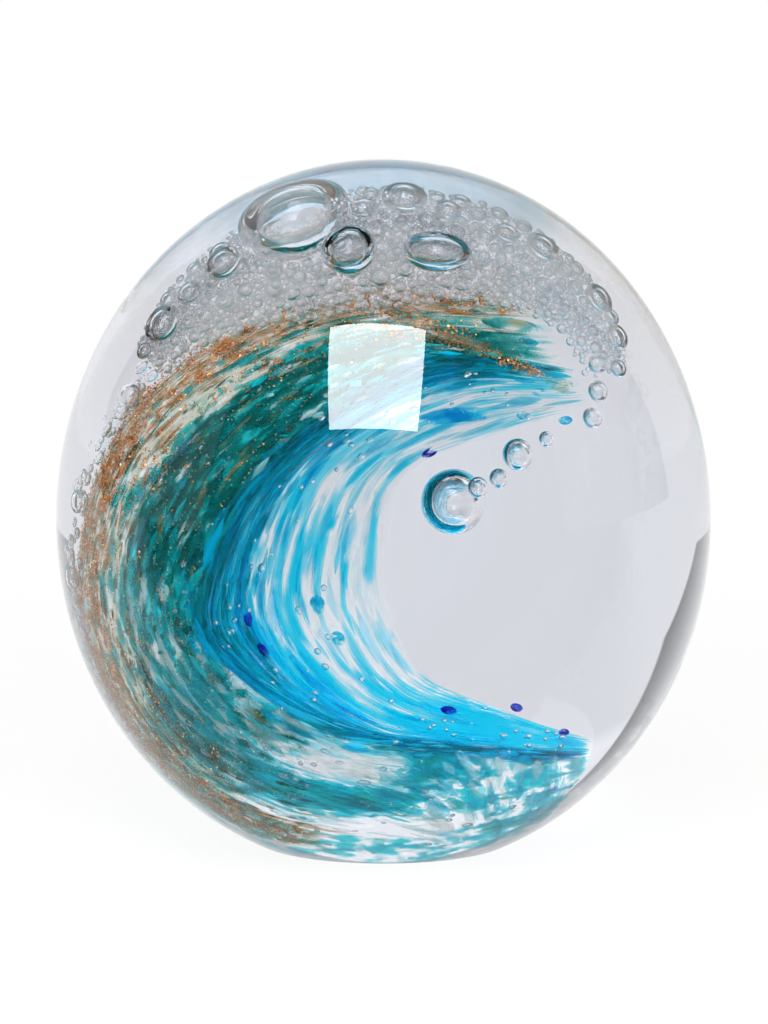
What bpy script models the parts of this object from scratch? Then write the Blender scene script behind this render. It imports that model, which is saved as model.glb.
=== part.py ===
"""Wave paperweight: a clear glass globe with a curling glass wave, froth and trapped bubbles inside.

The wave is a bent strap of clear glass. Its inner face carries pale and azure glass, its outer
side teal, olive and copper aventurine glass. A clear fold hangs under the crest. The last clear
gather closes over everything, and the flat foot is ground through it and through the wave's root.
Lengths are in millimetres until a mesh is made, and the origin is the middle of the foot.
"""

import math
import random

import bmesh
import bpy
from mathutils import Matrix, Vector
from mathutils.kdtree import KDTree

MM = 0.001

# Driving dimensions
GLOBE_WIDTH = 90.0
GLOBE_HEIGHT = 93.9
EQUATOR_HEIGHT = 44.4
FOOT_WIDTH = 35.6
FOOT_ROUND = 0.6
GLOBE_STEPS = 40
GLOBE_ROWS = 18

FIT_GAP = 0.3
ROOM_GAP = 0.5
THREAD_ROOM_GAP = 1.6 * FIT_GAP
BALL_ROOM_GAP = 2.6 * FIT_GAP
SKIN = 1.0
END_THINNING = 0.45
INLAY = 0.9
INLAY_LIFT = 0.5
ROOT_RADIUS = 9.0
ROOT_TOP = 14.4
ROOT_CENTRE = (-1.0, 3.5)
ROOT_SIDES = 32

# The wave's section turns through these six curves, each drawn from the end of the trough, round
# the back of the curl and up to the tip of the crest. The front of the globe is towards -Y.
FAR_EDGE = [
    (21.1, -6.0, 20.9), (10.2, 4.0, 25.5), (3.8, 9.0, 28.6), (1.0, 11.0, 33.6),
    (0.0, 12.0, 39.5), (2.0, 11.0, 47.9), (10.0, 7.0, 52.4), (19.7, 0.0, 56.6),
]
RIDGE = [
    (24.3, -13.0, 18.3), (9.6, -19.0, 20.6), (-6.0, -21.0, 23.0), (-18.1, -22.0, 30.4),
    (-21.2, -21.0, 38.0), (-13.8, -18.5, 52.4), (3.0, -12.5, 64.0), (19.9, -7.0, 61.6),
]
SHOULDER = [
    (24.5, -14.0, 12.9), (7.8, -20.0, 12.4), (-13.5, -20.0, 14.4), (-25.8, -16.0, 24.7),
    (-28.5, -12.0, 39.3), (-22.0, -10.5, 53.6), (-4.5, -7.5, 65.2), (17.4, -4.5, 65.4),
]
OUTLINE = [
    (21.5, -11.0, 8.2), (6.5, -15.0, 6.6), (-15.0, -14.0, 7.9), (-27.8, -8.0, 18.4),
    (-31.0, -1.0, 36.9), (-24.3, 0.0, 55.4), (-6.5, 0.0, 66.6), (15.9, -0.5, 67.6),
]
BACK = [
    (15.0, -1.0, 8.9), (5.5, 7.0, 8.4), (-8.0, 11.0, 10.4), (-19.0, 13.0, 20.9),
    (-22.0, 15.0, 37.4), (-15.5, 14.0, 55.4), (0.5, 11.5, 65.0), (15.6, 5.0, 63.9),
]
FACE_HOLLOW = 0.06

# The underside of the clear fold below the crest, from the wave's wall to the crest's tip
FOLD_FROM = 4.0
FOLD_EDGE = 0.24
FOLD_UNDER_STEPS = 5
FOLD_UNDERSIDE = [(-7.5, -6.5, 38.9), (8.6, -14.5, 49.6), (14.5, -13.5, 53.9), (22.0, -9.0, 58.9)]

# Where each colour lies on the section: 0 is the far edge, 2 the ridge, 3 the shoulder, 4 the outline
SKIN_SPANS = {
    "pale_streak_skin": (0.08, 1.0),
    "azure_skin": (1.0, 2.0),
    "teal_skin": (2.0, 3.0),
    "olive_streak_band": (3.0, 3.5),
    "copper_aventurine_band": (3.5, 4.25),
}
SKIN_END = 4.25
SECTION_CONTROLS = 6
SECTION_TURN = float(SECTION_CONTROLS)
PLACE_STEP = 0.25
SPAN_MARGIN = 0.02
STEEPEST_SLANT = 0.25
DEEPEST_INSET = 0.6

LAST_STATION = float(len(RIDGE) - 1)
STEPS_PER_STATION = 2

# Threads and tongues laid on the wave near the tip: stops of (station, place on the section), width
STRIPS = {
    "teal_tongue": ([(6.68, 3.2), (6.82, 3.08), (6.95, 2.95)], 2.2),
    "blue_tongue": ([(5.66, 0.74), (5.9, 0.67), (6.16, 0.56)], 2.8),
    "copper_tail_high": ([(6.2, 3.92), (6.36, 3.5), (6.44, 3.1)], 1.6),
    "copper_tail_low": ([(6.2, 2.75), (6.4, 2.45), (6.55, 2.1)], 1.3),
    "gold_tail": ([(6.8, 1.75), (6.88, 1.45), (6.92, 1.15)], 1.2),
}
# Chips and drops melted onto the wave: (station, place on the section), length along the wave, width
COBALT_CHIPS = [
    ((3.62, 1.15), 2.6, 1.5), ((3.12, 1.18), 2.4, 1.2), ((1.4, 0.6), 2.2, 1.2), ((0.83, 0.3), 2.0, 1.1),
    ((0.3, 0.53), 2.0, 1.1), ((0.25, 2.9), 1.9, 1.1), ((5.5, 0.42), 2.2, 1.0),
]
BLUE_DROPS = [((6.7, 0.93), 2.4, 1.5), ((6.42, 0.5), 1.8, 1.3), ((6.74, 0.28), 2.2, 1.4)]
TURQUOISE_DROPS = [((3.58, 0.62), 2.6, 2.4), ((3.0, 0.6), 2.2, 2.0)]
CHIP_THICKNESS = 1.1
THREAD_STEPS = 3
THREAD_TAPER = 0.55
THREAD_CROWN = 0.6

# Trapped air: centre, then the three widths. A bubble wider than FINE_ABOVE gets finer facets.
FINE_ABOVE = 10.0
CREST_BUBBLES = [
    ((-10.0, -4.0, 80.7), (13.2, 13.2, 13.2)),
    ((-4.0, -14.5, 79.2), (7.0, 7.0, 7.0)),
    ((6.2, -14.0, 78.8), (8.8, 6.5, 5.6)),
    ((2.4, -6.0, 84.0), (5.6, 5.6, 5.6)),
    ((-18.6, -9.5, 76.8), (5.0, 5.0, 5.0)),
    ((-25.2, -8.5, 69.0), (5.2, 5.2, 5.2)),
    ((18.2, -6.0, 77.8), (4.4, 4.4, 4.4)),
    ((24.6, -6.5, 71.8), (4.0, 4.0, 4.0)),
    ((26.2, -7.0, 67.0), (3.2, 3.2, 3.2)),
]
LIP_BUBBLES = [
    ((7.3, -14.5, 48.7), 7.2), ((14.3, -14.5, 54.0), 3.6), ((10.2, -18.3, 50.9), 2.4),
    ((17.4, -13.5, 55.6), 1.8), ((12.2, -15.0, 51.4), 2.2), ((22.4, -10.5, 57.6), 2.5),
    ((23.2, -9.8, 60.6), 2.6),
]
EDGE_BUBBLES = [((3.6, 4.25), 2.8), ((4.05, 4.1), 3.4), ((4.45, 4.15), 2.6), ((5.05, 4.05), 3.2)]

# Froth over the crest: the middle of the froth and its radius at each stop
FROTH_PATH = [
    (-25.5, -7.0, 63.9), (-19.5, -5.5, 69.9), (-8.0, -4.5, 75.0),
    (4.0, -4.5, 76.4), (14.0, -4.5, 74.6), (21.3, -5.5, 69.6), (23.8, -6.5, 62.2),
]
FROTH_RADII = [3.4, 6.2, 8.8, 8.4, 7.0, 5.0, 3.3]
FROTH_CORE = 0.62
FROTH_END = 3.0
FROTH_ROWS = 10
FROTH_SIDES = 10
FROTH_ROOM_SIDES = 16
FROTH_BALLS = 22
FROTH_BALL_RADIUS = (2.4, 3.5)
FROTH_THIN_SHARE = 0.6
FROTH_APART = 0.75
FROTH_SUNK = 0.5
FROTH_SEED = 11

GLASS = (0.86, 0.88, 0.93)
COLOURS = {
    "clear_casing": GLASS,
    "wave_core": GLASS,
    "crest_fold": GLASS,
    "pale_streak_skin": (0.55, 0.79, 0.90),
    "azure_skin": (0.02, 0.36, 0.66),
    "teal_skin": (0.01, 0.25, 0.28),
    "olive_streak_band": (0.30, 0.29, 0.16),
    "copper_aventurine_band": (0.46, 0.19, 0.07),
    "teal_tongue": (0.01, 0.25, 0.28),
    "blue_tongue": (0.01, 0.30, 0.65),
    "copper_tail_high": (0.46, 0.19, 0.07),
    "copper_tail_low": (0.46, 0.19, 0.07),
    "gold_tail": (0.62, 0.50, 0.32),
}
COBALT = (0.02, 0.03, 0.35)
BLUE = (0.01, 0.30, 0.65)
TURQUOISE = (0.01, 0.40, 0.55)
FROTH = (0.82, 0.87, 0.89)
AIR = (0.93, 0.95, 0.97)


def clear_scene():
    for obj in list(bpy.data.objects):
        bpy.data.objects.remove(obj, do_unlink=True)


def new_collection(name):
    collection = bpy.data.collections.new(name)
    bpy.context.scene.collection.children.link(collection)
    return collection


def glass_material(name, colour, roughness=0.02, metallic=0.0):
    material = bpy.data.materials.new(name)
    material.use_nodes = True
    shader = material.node_tree.nodes["Principled BSDF"]
    shader.inputs["Base Color"].default_value = (*colour, 1.0)
    shader.inputs["Roughness"].default_value = roughness
    shader.inputs["Metallic"].default_value = metallic
    shader.inputs["IOR"].default_value = 1.5
    return material


def catmull(before, start, end, after, t):
    """Point on the smooth curve from start to end, t from 0 to 1."""
    return 0.5 * (
        2 * start
        + (end - before) * t
        + (2 * before - 5 * start + 4 * end - after) * t * t
        + (3 * start - before - 3 * end + after) * t * t * t
    )


def along(points, place):
    """Point at a fractional place on an open smooth curve through the points."""
    last = len(points) - 1
    place = min(max(place, 0.0), float(last))
    i = min(int(place), last - 1)
    vectors = [Vector(p) for p in points]
    before = vectors[i - 1] if i else 2 * vectors[0] - vectors[1]
    after = vectors[i + 2] if i + 2 <= last else 2 * vectors[last] - vectors[last - 1]
    return catmull(before, vectors[i], vectors[i + 1], after, place - i)


def section_controls(station):
    """The section's six control points at a station, with the hollow of the inner face added."""
    far, ridge, shoulder, outline, back = (
        along(curve, station) for curve in (FAR_EDGE, RIDGE, SHOULDER, OUTLINE, BACK)
    )
    middle = (far + ridge) / 2
    inward = (shoulder + back) / 2 - middle
    hollow = middle + inward.normalized() * (far - ridge).length * FACE_HOLLOW
    return [far, hollow, ridge, shoulder, outline, back]


def wave_point(station, place):
    """Point on the wave's outer surface, in millimetres."""
    controls = section_controls(station)
    i = int(math.floor(place)) % SECTION_CONTROLS
    t = place - math.floor(place)
    after = [controls[(i + k) % SECTION_CONTROLS] for k in (1, 2)]
    return catmull(controls[i - 1], controls[i], *after, t)


def wave_normal(station, place):
    """Outward direction of the wave's surface."""
    step = 0.02
    low = max(station - step, 0.0)
    high = min(station + step, LAST_STATION)
    along_wave = wave_point(high, place) - wave_point(low, place)
    across = wave_point(station, place + step) - wave_point(station, place - step)
    normal = along_wave.cross(across).normalized()
    if normal.dot(wave_point(station, place) - section_centre(station)) < 0:
        normal.negate()
    return normal


def section_centre(station):
    return sum(section_controls(station), Vector()) / SECTION_CONTROLS


def wave_offset(station, place, offset):
    """Point the given distance off the surface, on the line from the section's centre."""
    point = wave_point(station, place)
    spoke = point - section_centre(station)
    outward = spoke.normalized()
    slant = max(outward.dot(wave_normal(station, place)), STEEPEST_SLANT)
    return point + outward * max(offset / slant, -DEEPEST_INSET * spoke.length)


def wave_height(station, place, height):
    """Point straight over the surface, for what is laid on the wave."""
    return wave_point(station, place) + wave_normal(station, place) * height


def stations(start=0.0, per_station=STEPS_PER_STATION):
    """Stations from start to the tip, the same ones for every layer."""
    steps = int((LAST_STATION - start) * per_station)
    return [start + i / per_station for i in range(steps + 1)]


def spread(start, end, count):
    return [start + (end - start) * i / (count - 1) for i in range(count)]


def section_places():
    """Places round the section where every layer bends, so that the gaps between layers stay even."""
    places = {i * PLACE_STEP for i in range(int(SECTION_TURN / PLACE_STEP))}
    for start, end in SKIN_SPANS.values():
        places.update((round(start + SPAN_MARGIN, 3), round(end - SPAN_MARGIN, 3)))
    places.update((FOLD_EDGE, 2.0 - FOLD_EDGE))
    return sorted(places)


def places_between(start, end):
    least = 0.001
    return [start] + [place for place in section_places() if start + least < place < end - least] + [end]


def object_from_mesh(name, mesh, collection, material=None):
    obj = bpy.data.objects.new(name, mesh)
    collection.objects.link(obj)
    if material:
        mesh.materials.append(material)
    return obj


def loft(name, rings, collection, material=None, turned=None):
    """Closed body through a row of closed rings.

    Its quads split one way up to point number turned, then the other, so that two layers that face
    each other split alike.
    """
    mesh = bpy.data.meshes.new(name)
    bm = bmesh.new()
    rows = [[bm.verts.new(point * MM) for point in ring] for ring in rings]
    count = len(rows[0])
    for near, far in zip(rows, rows[1:]):
        for i in range(count):
            j = (i + 1) % count
            a, b, c, d = near[i], near[j], far[j], far[i]
            if turned is not None and i >= turned:
                a, b, c, d = b, c, d, a
            bm.faces.new((a, b, c))
            bm.faces.new((a, c, d))
    for row in (rows[0], rows[-1]):
        if turned is None:
            middle = bm.verts.new(sum((vert.co for vert in row), Vector()) / count)
            for i in range(count):
                bm.faces.new((row[i], row[(i + 1) % count], middle))
        else:
            for i in range(turned - 1):
                bm.faces.new((row[i], row[i + 1], row[count - 2 - i], row[count - 1 - i]))
    bmesh.ops.recalc_face_normals(bm, faces=bm.faces)
    bm.to_mesh(mesh)
    bm.free()
    mesh.shade_smooth()
    mesh.set_sharp_from_angle(angle=math.radians(40))
    return object_from_mesh(name, mesh, collection, material)


def ball(name, centre, widths, collection, material=None, subdivisions=2, turn=None):
    """Ellipsoid from an icosphere, its widths in millimetres."""
    mesh = bpy.data.meshes.new(name)
    bm = bmesh.new()
    bmesh.ops.create_icosphere(bm, subdivisions=subdivisions, radius=0.5)
    size = Matrix.Diagonal((*(width * MM for width in widths), 1.0))
    bmesh.ops.transform(bm, matrix=size, verts=bm.verts)
    bm.to_mesh(mesh)
    bm.free()
    mesh.shade_smooth()
    obj = object_from_mesh(name, mesh, collection, material)
    obj.location = Vector(centre) * MM
    if turn:
        obj.rotation_euler = turn.to_euler()
    return obj


def cut(obj, cutters, operation="DIFFERENCE"):
    """A Boolean on obj for each of the cutters, which stay hidden in their own collection."""
    for cutter in cutters:
        modifier = obj.modifiers.new(cutter.name, "BOOLEAN")
        modifier.operation = operation
        modifier.object = cutter


def hide_cutter(obj):
    obj.hide_render = True
    obj.display_type = "WIRE"
    return obj


def wave_ring(station, offsets):
    """One closed ring round the wave, offsets being (place, distance out) pairs."""
    return [wave_offset(station, place, offset) for place, offset in offsets]


def end_shift(end):
    """How far the wave's slot runs past the wave at one of its ends."""
    direction = wave_point(LAST_STATION, 1.0) - wave_point(LAST_STATION - 0.2, 1.0)
    if end == 0:
        direction = wave_point(0.0, 1.0) - wave_point(0.2, 1.0)
    return direction.normalized() * ROOM_GAP


def skin_depth(station):
    """Thickness of the coloured skins, which thin out towards both ends of the wave."""
    from_end = min(station, LAST_STATION - station, 1.0)
    return SKIN * (END_THINNING + (1 - END_THINNING) * from_end)


def make_wave_core(collection, material, cutters):
    """The strap of clear glass that carries the colours, standing on the root of the gather."""
    back_start, back_end = SKIN_END + 2 * SPAN_MARGIN, SECTION_TURN - 2 * SPAN_MARGIN
    back = [(place, 0.0) for place in places_between(back_start, back_end)]
    rings = []
    for station in stations():
        inset = -(skin_depth(station) + FIT_GAP)
        front = [(place, inset) for place in places_between(SPAN_MARGIN, SKIN_END)]
        rings.append(wave_ring(station, front + back))
    core = loft("wave_core", rings, collection, material)
    cut(core, [hide_cutter(make_root("core_root", ROOT_RADIUS, 0.0, cutters))], "UNION")
    return core


def make_root(name, radius, room, collection):
    """The root that the wave stands on, or the hole for it, which is longer by room at each end."""
    mesh = bpy.data.meshes.new(name)
    bm = bmesh.new()
    height = (ROOT_TOP + 2 * room) * MM
    bmesh.ops.create_cone(
        bm, cap_ends=True, segments=ROOT_SIDES, radius1=radius * MM, radius2=radius * MM, depth=height
    )
    bm.to_mesh(mesh)
    bm.free()
    obj = object_from_mesh(name, mesh, collection)
    obj.location = (ROOT_CENTRE[0] * MM, ROOT_CENTRE[1] * MM, ROOT_TOP / 2 * MM)
    return obj


def make_skin(name, span, collection, material):
    """A layer of coloured glass lying flush in the wave's surface."""
    places = places_between(span[0] + SPAN_MARGIN, span[1] - SPAN_MARGIN)
    outer = [(place, 0.0) for place in places]
    rings = []
    for station in stations():
        inner = [(place, -skin_depth(station)) for place in reversed(places)]
        rings.append(wave_ring(station, outer + inner))
    return loft(name, rings, collection, material, turned=len(outer))


def make_slot(collection):
    """The room that the wave takes up in the clear casing."""
    offsets = [(place, FIT_GAP) for place in places_between(0.0, SECTION_TURN)[:-1]]
    rings = [wave_ring(station, offsets) for station in stations()]
    rings.insert(0, [point + end_shift(0) for point in rings[0]])
    rings.append([point + end_shift(1) for point in rings[-1]])
    return hide_cutter(loft("wave_slot", rings, collection))


def widened(ring, by):
    """A flat ring grown by a distance on all sides."""
    count = len(ring)
    axis = sum((ring[i].cross(ring[(i + 1) % count]) for i in range(count)), Vector()).normalized()
    grown = []
    for i in range(count):
        heading = ring[(i + 1) % count] - ring[i - 1]
        grown.append(ring[i] + heading.cross(axis).normalized() * by)
    return grown


def fold_ring(station):
    """Ring of the fold: along the inner face of the wave, then back along the fold's underside."""
    places = places_between(FOLD_EDGE, 2.0 - FOLD_EDGE)
    face = [wave_offset(station, place, FIT_GAP) for place in places]
    under = along(FOLD_UNDERSIDE, station - FOLD_FROM)
    middle = (face[0] + face[-1]) / 2
    peak = 2 * under - middle
    ring = list(face)
    start, end = face[-1], face[0]
    for t in spread(0.0, 1.0, FOLD_UNDER_STEPS + 1)[1:-1]:
        ring.append(start * (1 - t) ** 2 + peak * 2 * t * (1 - t) + end * t * t)
    return ring


def make_fold(collection, cutters, material):
    """The clear fold under the crest, and the room that it takes in the casing."""
    rings = [fold_ring(station) for station in stations(FOLD_FROM)]
    fold = loft("crest_fold", rings, collection, material)
    room = [widened(ring, ROOM_GAP) for ring in rings]
    back = (rings[0][0] - rings[1][0]).normalized() * ROOM_GAP
    room.insert(0, [point + back for point in room[0]])
    room.append([point + end_shift(1) for point in room[-1]])
    return fold, hide_cutter(loft("fold_room", room, cutters))


def strip_rings(stops, width, bottom, top, grow=0.0):
    """Rings of a thread that follows stops on the wave's surface, between two heights over it."""
    rings = []
    steps = THREAD_STEPS * (len(stops) - 1)
    points = [Vector((station, place, 0.0)) for station, place in stops]
    places = [along(points, i * (len(stops) - 1) / steps) for i in range(steps + 1)]
    centres = [wave_point(place.x, place.y) for place in places]
    for i, place in enumerate(places):
        normal = wave_normal(place.x, place.y)
        ahead = centres[min(i + 1, steps)] - centres[max(i - 1, 0)]
        side = ahead.cross(normal).normalized()
        taper = 1.0 - THREAD_TAPER * abs(2 * i / steps - 1) ** 3
        side *= width * taper / 2 + grow
        crown = side * THREAD_CROWN
        shift = Vector()
        if i in (0, steps):
            shift = ahead.normalized() * (grow if i else -grow)
        low = centres[i] + normal * bottom + shift
        high = centres[i] + normal * top + shift
        rings.append([low - side, low + side, high + crown, high - crown])
    return rings


def make_strip(name, stops, width, collection, cutters, material):
    piece = loft(name, strip_rings(stops, width, INLAY_LIFT, INLAY_LIFT + INLAY), collection, material)
    room = strip_rings(stops, width, 0.0, INLAY_LIFT + INLAY + FIT_GAP, THREAD_ROOM_GAP)
    return piece, hide_cutter(loft(name + "_room", room, cutters))


def surface_turn(station, place):
    """Rotation whose X runs along the wave and whose Z stands out of it."""
    normal = wave_normal(station, place)
    step = 0.05
    ahead = wave_point(min(station + step, LAST_STATION), place) - wave_point(station - step, place)
    ahead = (ahead - normal * ahead.dot(normal)).normalized()
    return Matrix((ahead, normal.cross(ahead), normal)).transposed()


def make_chip(name, chip, collection, cutters, material):
    """A chip of coloured glass on the wave, and the room it takes in the glass over it."""
    (station, place), length, width = chip
    turn = surface_turn(station, place)
    centre = wave_height(station, place, INLAY_LIFT + CHIP_THICKNESS / 2)
    sizes = (length, width, CHIP_THICKNESS)
    piece = ball(name, centre, sizes, collection, material, subdivisions=1, turn=turn)
    larger = [size + BALL_ROOM_GAP for size in sizes]
    room = ball(name + "_room", centre, larger, cutters, subdivisions=1, turn=turn)
    return piece, hide_cutter(room)


def make_bubble(name, centre, widths, collection, cutters, material):
    """Trapped air, and the hollow that it fills."""
    fine = 3 if max(widths) > FINE_ABOVE else 2
    larger = [width + BALL_ROOM_GAP for width in widths]
    piece = ball(name, centre, widths, collection, material, subdivisions=fine)
    room = ball(name + "_room", centre, larger, cutters, subdivisions=fine)
    return piece, hide_cutter(room)


def froth_frame(place):
    """Middle of the froth at a place on its path, its radius there, and two directions across it."""
    ahead = along(FROTH_PATH, place + 0.1) - along(FROTH_PATH, place - 0.1)
    side = Vector((0, 1, 0))
    up = ahead.cross(side).normalized()
    radius = along([(r, 0, 0) for r in FROTH_RADII], place).x
    return along(FROTH_PATH, place), radius, side, up


def froth_rings(scale, grow=0.0, around=FROTH_SIDES):
    """Rings of a tube along the froth's path."""
    rings = []
    turns = [math.tau * k / around for k in range(around)]
    for place in spread(0.0, len(FROTH_PATH) - 1, FROTH_ROWS + 1):
        centre, radius, side, up = froth_frame(place)
        radius = radius * scale + grow
        rings.append([centre + side * radius * math.cos(a) + up * radius * math.sin(a) for a in turns])
    return rings


def wave_tree():
    """Search tree of points on the wave's surface."""
    points = [wave_point(s, p) for s in stations(per_station=8) for p in spread(0.0, 5.9, 60)]
    tree = KDTree(len(points))
    for index, point in enumerate(points):
        tree.insert(point, index)
    tree.balance()
    return tree


def froth_balls():
    """Centres and radii of the bubbles that stand out of the froth, clear of the wave."""
    chance = random.Random(FROTH_SEED)
    tree = wave_tree()
    last = len(FROTH_PATH) - 1
    balls = []
    while len(balls) < FROTH_BALLS:
        middle, radius, side, up = froth_frame(last * chance.random())
        share = FROTH_THIN_SHARE + (1 - FROTH_THIN_SHARE) * radius / max(FROTH_RADII)
        size = chance.uniform(*FROTH_BALL_RADIUS) * share
        angle = math.tau * chance.random()
        centre = middle + (side * math.cos(angle) + up * math.sin(angle)) * (radius - size)
        clear = tree.find(centre)[2] > size + 2 * FIT_GAP
        sunk = FROTH_SUNK * size
        whole = all((centre - Vector(b)).length > max(w) / 2 + sunk for b, w in CREST_BUBBLES)
        apart = all((centre - other).length > FROTH_APART * (size + own) for other, own in balls)
        if clear and whole and apart:
            balls.append((centre, size))
    return balls


def make_froth(collection, cutters, material, rooms):
    froth = loft("crest_froth", froth_rings(FROTH_CORE), collection, material)
    knobs = []
    for number, (centre, size) in enumerate(froth_balls(), 1):
        knob = ball(f"froth_ball_{number:02d}", centre, [2 * size] * 3, cutters)
        knobs.append(hide_cutter(knob))
    cut(froth, knobs, "UNION")
    cut(froth, rooms)
    rings = froth_rings(1.0, 2 * FIT_GAP, FROTH_ROOM_SIDES)
    for end, inner in ((0, 1), (-1, -2)):
        shift = (sum(rings[end], Vector()) - sum(rings[inner], Vector())).normalized() * FROTH_END
        rings.insert(len(rings) * -end, [point + shift for point in rings[end]])
    return froth, hide_cutter(loft("froth_room", rings, cutters))


def globe_profile():
    """Profile of the globe from the top of the dome down to the foot, in metres."""
    half = GLOBE_WIDTH / 2
    foot = FOOT_WIDTH / 2
    rise = GLOBE_HEIGHT - EQUATOR_HEIGHT
    fall = EQUATOR_HEIGHT / math.sqrt(1 - (foot / half) ** 2)
    lowest = math.asin(-(EQUATOR_HEIGHT - FOOT_ROUND) / fall)
    points = [(0.0, GLOBE_HEIGHT)]
    for i in range(1, GLOBE_ROWS + 1):
        angle = math.pi / 2 + (lowest - math.pi / 2) * i / GLOBE_ROWS
        axis = rise if angle > 0 else fall
        points.append((half * math.cos(angle), EQUATOR_HEIGHT + axis * math.sin(angle)))
    points.append((foot - FOOT_ROUND / 2, 0.0))
    points.append((0.0, 0.0))
    return [(x * MM, 0.0, z * MM) for x, z in points]


def make_casing(collection, material, rooms):
    """The outer clear gather, turned from its profile and hollowed for what it encloses."""
    mesh = bpy.data.meshes.new("clear_casing")
    points = globe_profile()
    mesh.from_pydata(points, [(i, i + 1) for i in range(len(points) - 1)], [])
    casing = object_from_mesh("clear_casing", mesh, collection, material)
    screw = casing.modifiers.new("turned", "SCREW")
    screw.axis = "Z"
    screw.steps = GLOBE_STEPS
    screw.render_steps = GLOBE_STEPS
    screw.use_merge_vertices = True
    screw.merge_threshold = 0.00001
    screw.use_smooth_shade = True
    cut(casing, rooms)
    return casing


def main():
    clear_scene()
    parts = new_collection("wave_paperweight")
    cutters = new_collection("cutters")
    materials = {name: glass_material(name, colour) for name, colour in COLOURS.items()}
    cobalt = glass_material("cobalt_glass", COBALT)
    blue = glass_material("blue_glass", BLUE)
    turquoise = glass_material("turquoise_glass", TURQUOISE)
    froth_glass = glass_material("froth", FROTH, 0.15)
    air = glass_material("trapped_air", AIR)

    make_wave_core(parts, materials["wave_core"], cutters)
    for name, span in SKIN_SPANS.items():
        make_skin(name, span, parts, materials[name])

    inlays = []
    for name, (stops, width) in STRIPS.items():
        inlays.append(make_strip(name, stops, width, parts, cutters, materials[name])[1])
    for kind, chips, material in (
        ("cobalt_chip", COBALT_CHIPS, cobalt),
        ("blue_drop", BLUE_DROPS, blue),
        ("turquoise_drop", TURQUOISE_DROPS, turquoise),
    ):
        for number, chip in enumerate(chips, 1):
            inlays.append(make_chip(f"{kind}_{number}", chip, parts, cutters, material)[1])

    crest_rooms = []
    for number, (centre, widths) in enumerate(CREST_BUBBLES, 1):
        name = f"crest_bubble_{number}"
        crest_rooms.append(make_bubble(name, centre, widths, parts, cutters, air)[1])
    lip_rooms = []
    for number, (centre, width) in enumerate(LIP_BUBBLES, 1):
        name = f"lip_bubble_{number}"
        lip_rooms.append(make_bubble(name, centre, [width] * 3, parts, cutters, air)[1])
    edge_rooms = []
    for number, ((station, place), width) in enumerate(EDGE_BUBBLES, 1):
        name = f"edge_bubble_{number}"
        centre = wave_height(station, place, width / 2 + FIT_GAP)
        edge_rooms.append(make_bubble(name, centre, [width] * 3, parts, cutters, air)[1])

    fold, fold_room = make_fold(parts, cutters, materials["crest_fold"])
    cut(fold, lip_rooms + inlays)

    froth_room = make_froth(parts, cutters, froth_glass, crest_rooms)[1]
    root_room = hide_cutter(make_root("root_room", ROOT_RADIUS + FIT_GAP, FIT_GAP, cutters))
    slot = make_slot(cutters)
    rooms = [slot, root_room, fold_room, froth_room]
    make_casing(parts, materials["clear_casing"], rooms + inlays + crest_rooms + lip_rooms + edge_rooms)


main()
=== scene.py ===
# %% [markdown]
# # A wave in a glass globe
#
# The object is a solid glass paperweight. A glassworker gathers clear glass, rolls it in crushed
# coloured glass, draws the colour out into streaks and curls it into a breaking wave. Froth is made
# with a powder that gives off gas, and a last clear gather closes over everything. The CAD model
# gives the place and size of each layer and each large bubble. This script gives them their look.

# %% Load the frame
import math

import bpy
import numpy as np
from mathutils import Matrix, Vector
from mathutils.kdtree import KDTree


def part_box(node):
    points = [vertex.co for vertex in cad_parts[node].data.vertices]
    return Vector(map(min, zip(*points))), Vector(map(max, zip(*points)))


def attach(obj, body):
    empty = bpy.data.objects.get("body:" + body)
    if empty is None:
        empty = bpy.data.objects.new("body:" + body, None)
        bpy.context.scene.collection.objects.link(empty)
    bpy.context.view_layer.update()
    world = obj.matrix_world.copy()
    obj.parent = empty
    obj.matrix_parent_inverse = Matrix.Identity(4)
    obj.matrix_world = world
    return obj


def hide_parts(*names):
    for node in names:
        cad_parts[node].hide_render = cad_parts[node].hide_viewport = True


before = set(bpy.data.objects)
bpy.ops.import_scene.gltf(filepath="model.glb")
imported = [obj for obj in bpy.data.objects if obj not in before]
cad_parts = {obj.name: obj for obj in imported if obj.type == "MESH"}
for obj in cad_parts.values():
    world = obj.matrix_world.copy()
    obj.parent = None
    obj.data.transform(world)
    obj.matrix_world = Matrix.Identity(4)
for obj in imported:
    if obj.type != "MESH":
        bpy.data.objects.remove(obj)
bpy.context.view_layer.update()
MM = 0.001
print("CAD nodes:", len(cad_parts))

# %% [markdown]
# ## Small helpers
#
# Colours are written as sRGB hex values, as a colour picker shows them, and one function turns
# them to the linear values that shaders work in. One function adds any node with its settings and
# links. Everything is deselected before a new piece is made, because an operator acts on all that
# is selected, and loading the frame leaves the CAD's nodes selected.


# %% Helpers
def linear(hex_colour):
    """Linear RGBA of an sRGB hex colour."""
    values = [int(hex_colour[i:i + 2], 16) / 255 for i in (1, 3, 5)]
    low, high = (lambda v: v / 12.92), (lambda v: ((v + 0.055) / 1.055) ** 2.4)
    return (*(low(v) if v <= 0.04045 else high(v) for v in values), 1.0)


def add_node(tree, kind, inputs=(), **settings):
    """A new shader node. A setting is one of its properties. Inputs are a dict by name or number, or a
    row from the first one on, and each is a value, the socket that it comes from, or the node whose first
    output it is."""
    node = tree.nodes.new("ShaderNode" + kind)
    for name, value in settings.items():
        setattr(node, name, value)
    by_socket = inputs if isinstance(inputs, dict) else dict(enumerate(inputs))
    for socket, value in by_socket.items():
        if isinstance(value, bpy.types.Node):
            value = value.outputs[0]
        if isinstance(value, bpy.types.NodeSocket):
            tree.links.new(value, node.inputs[socket])
        else:
            node.inputs[socket].default_value = value
    return node


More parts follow.
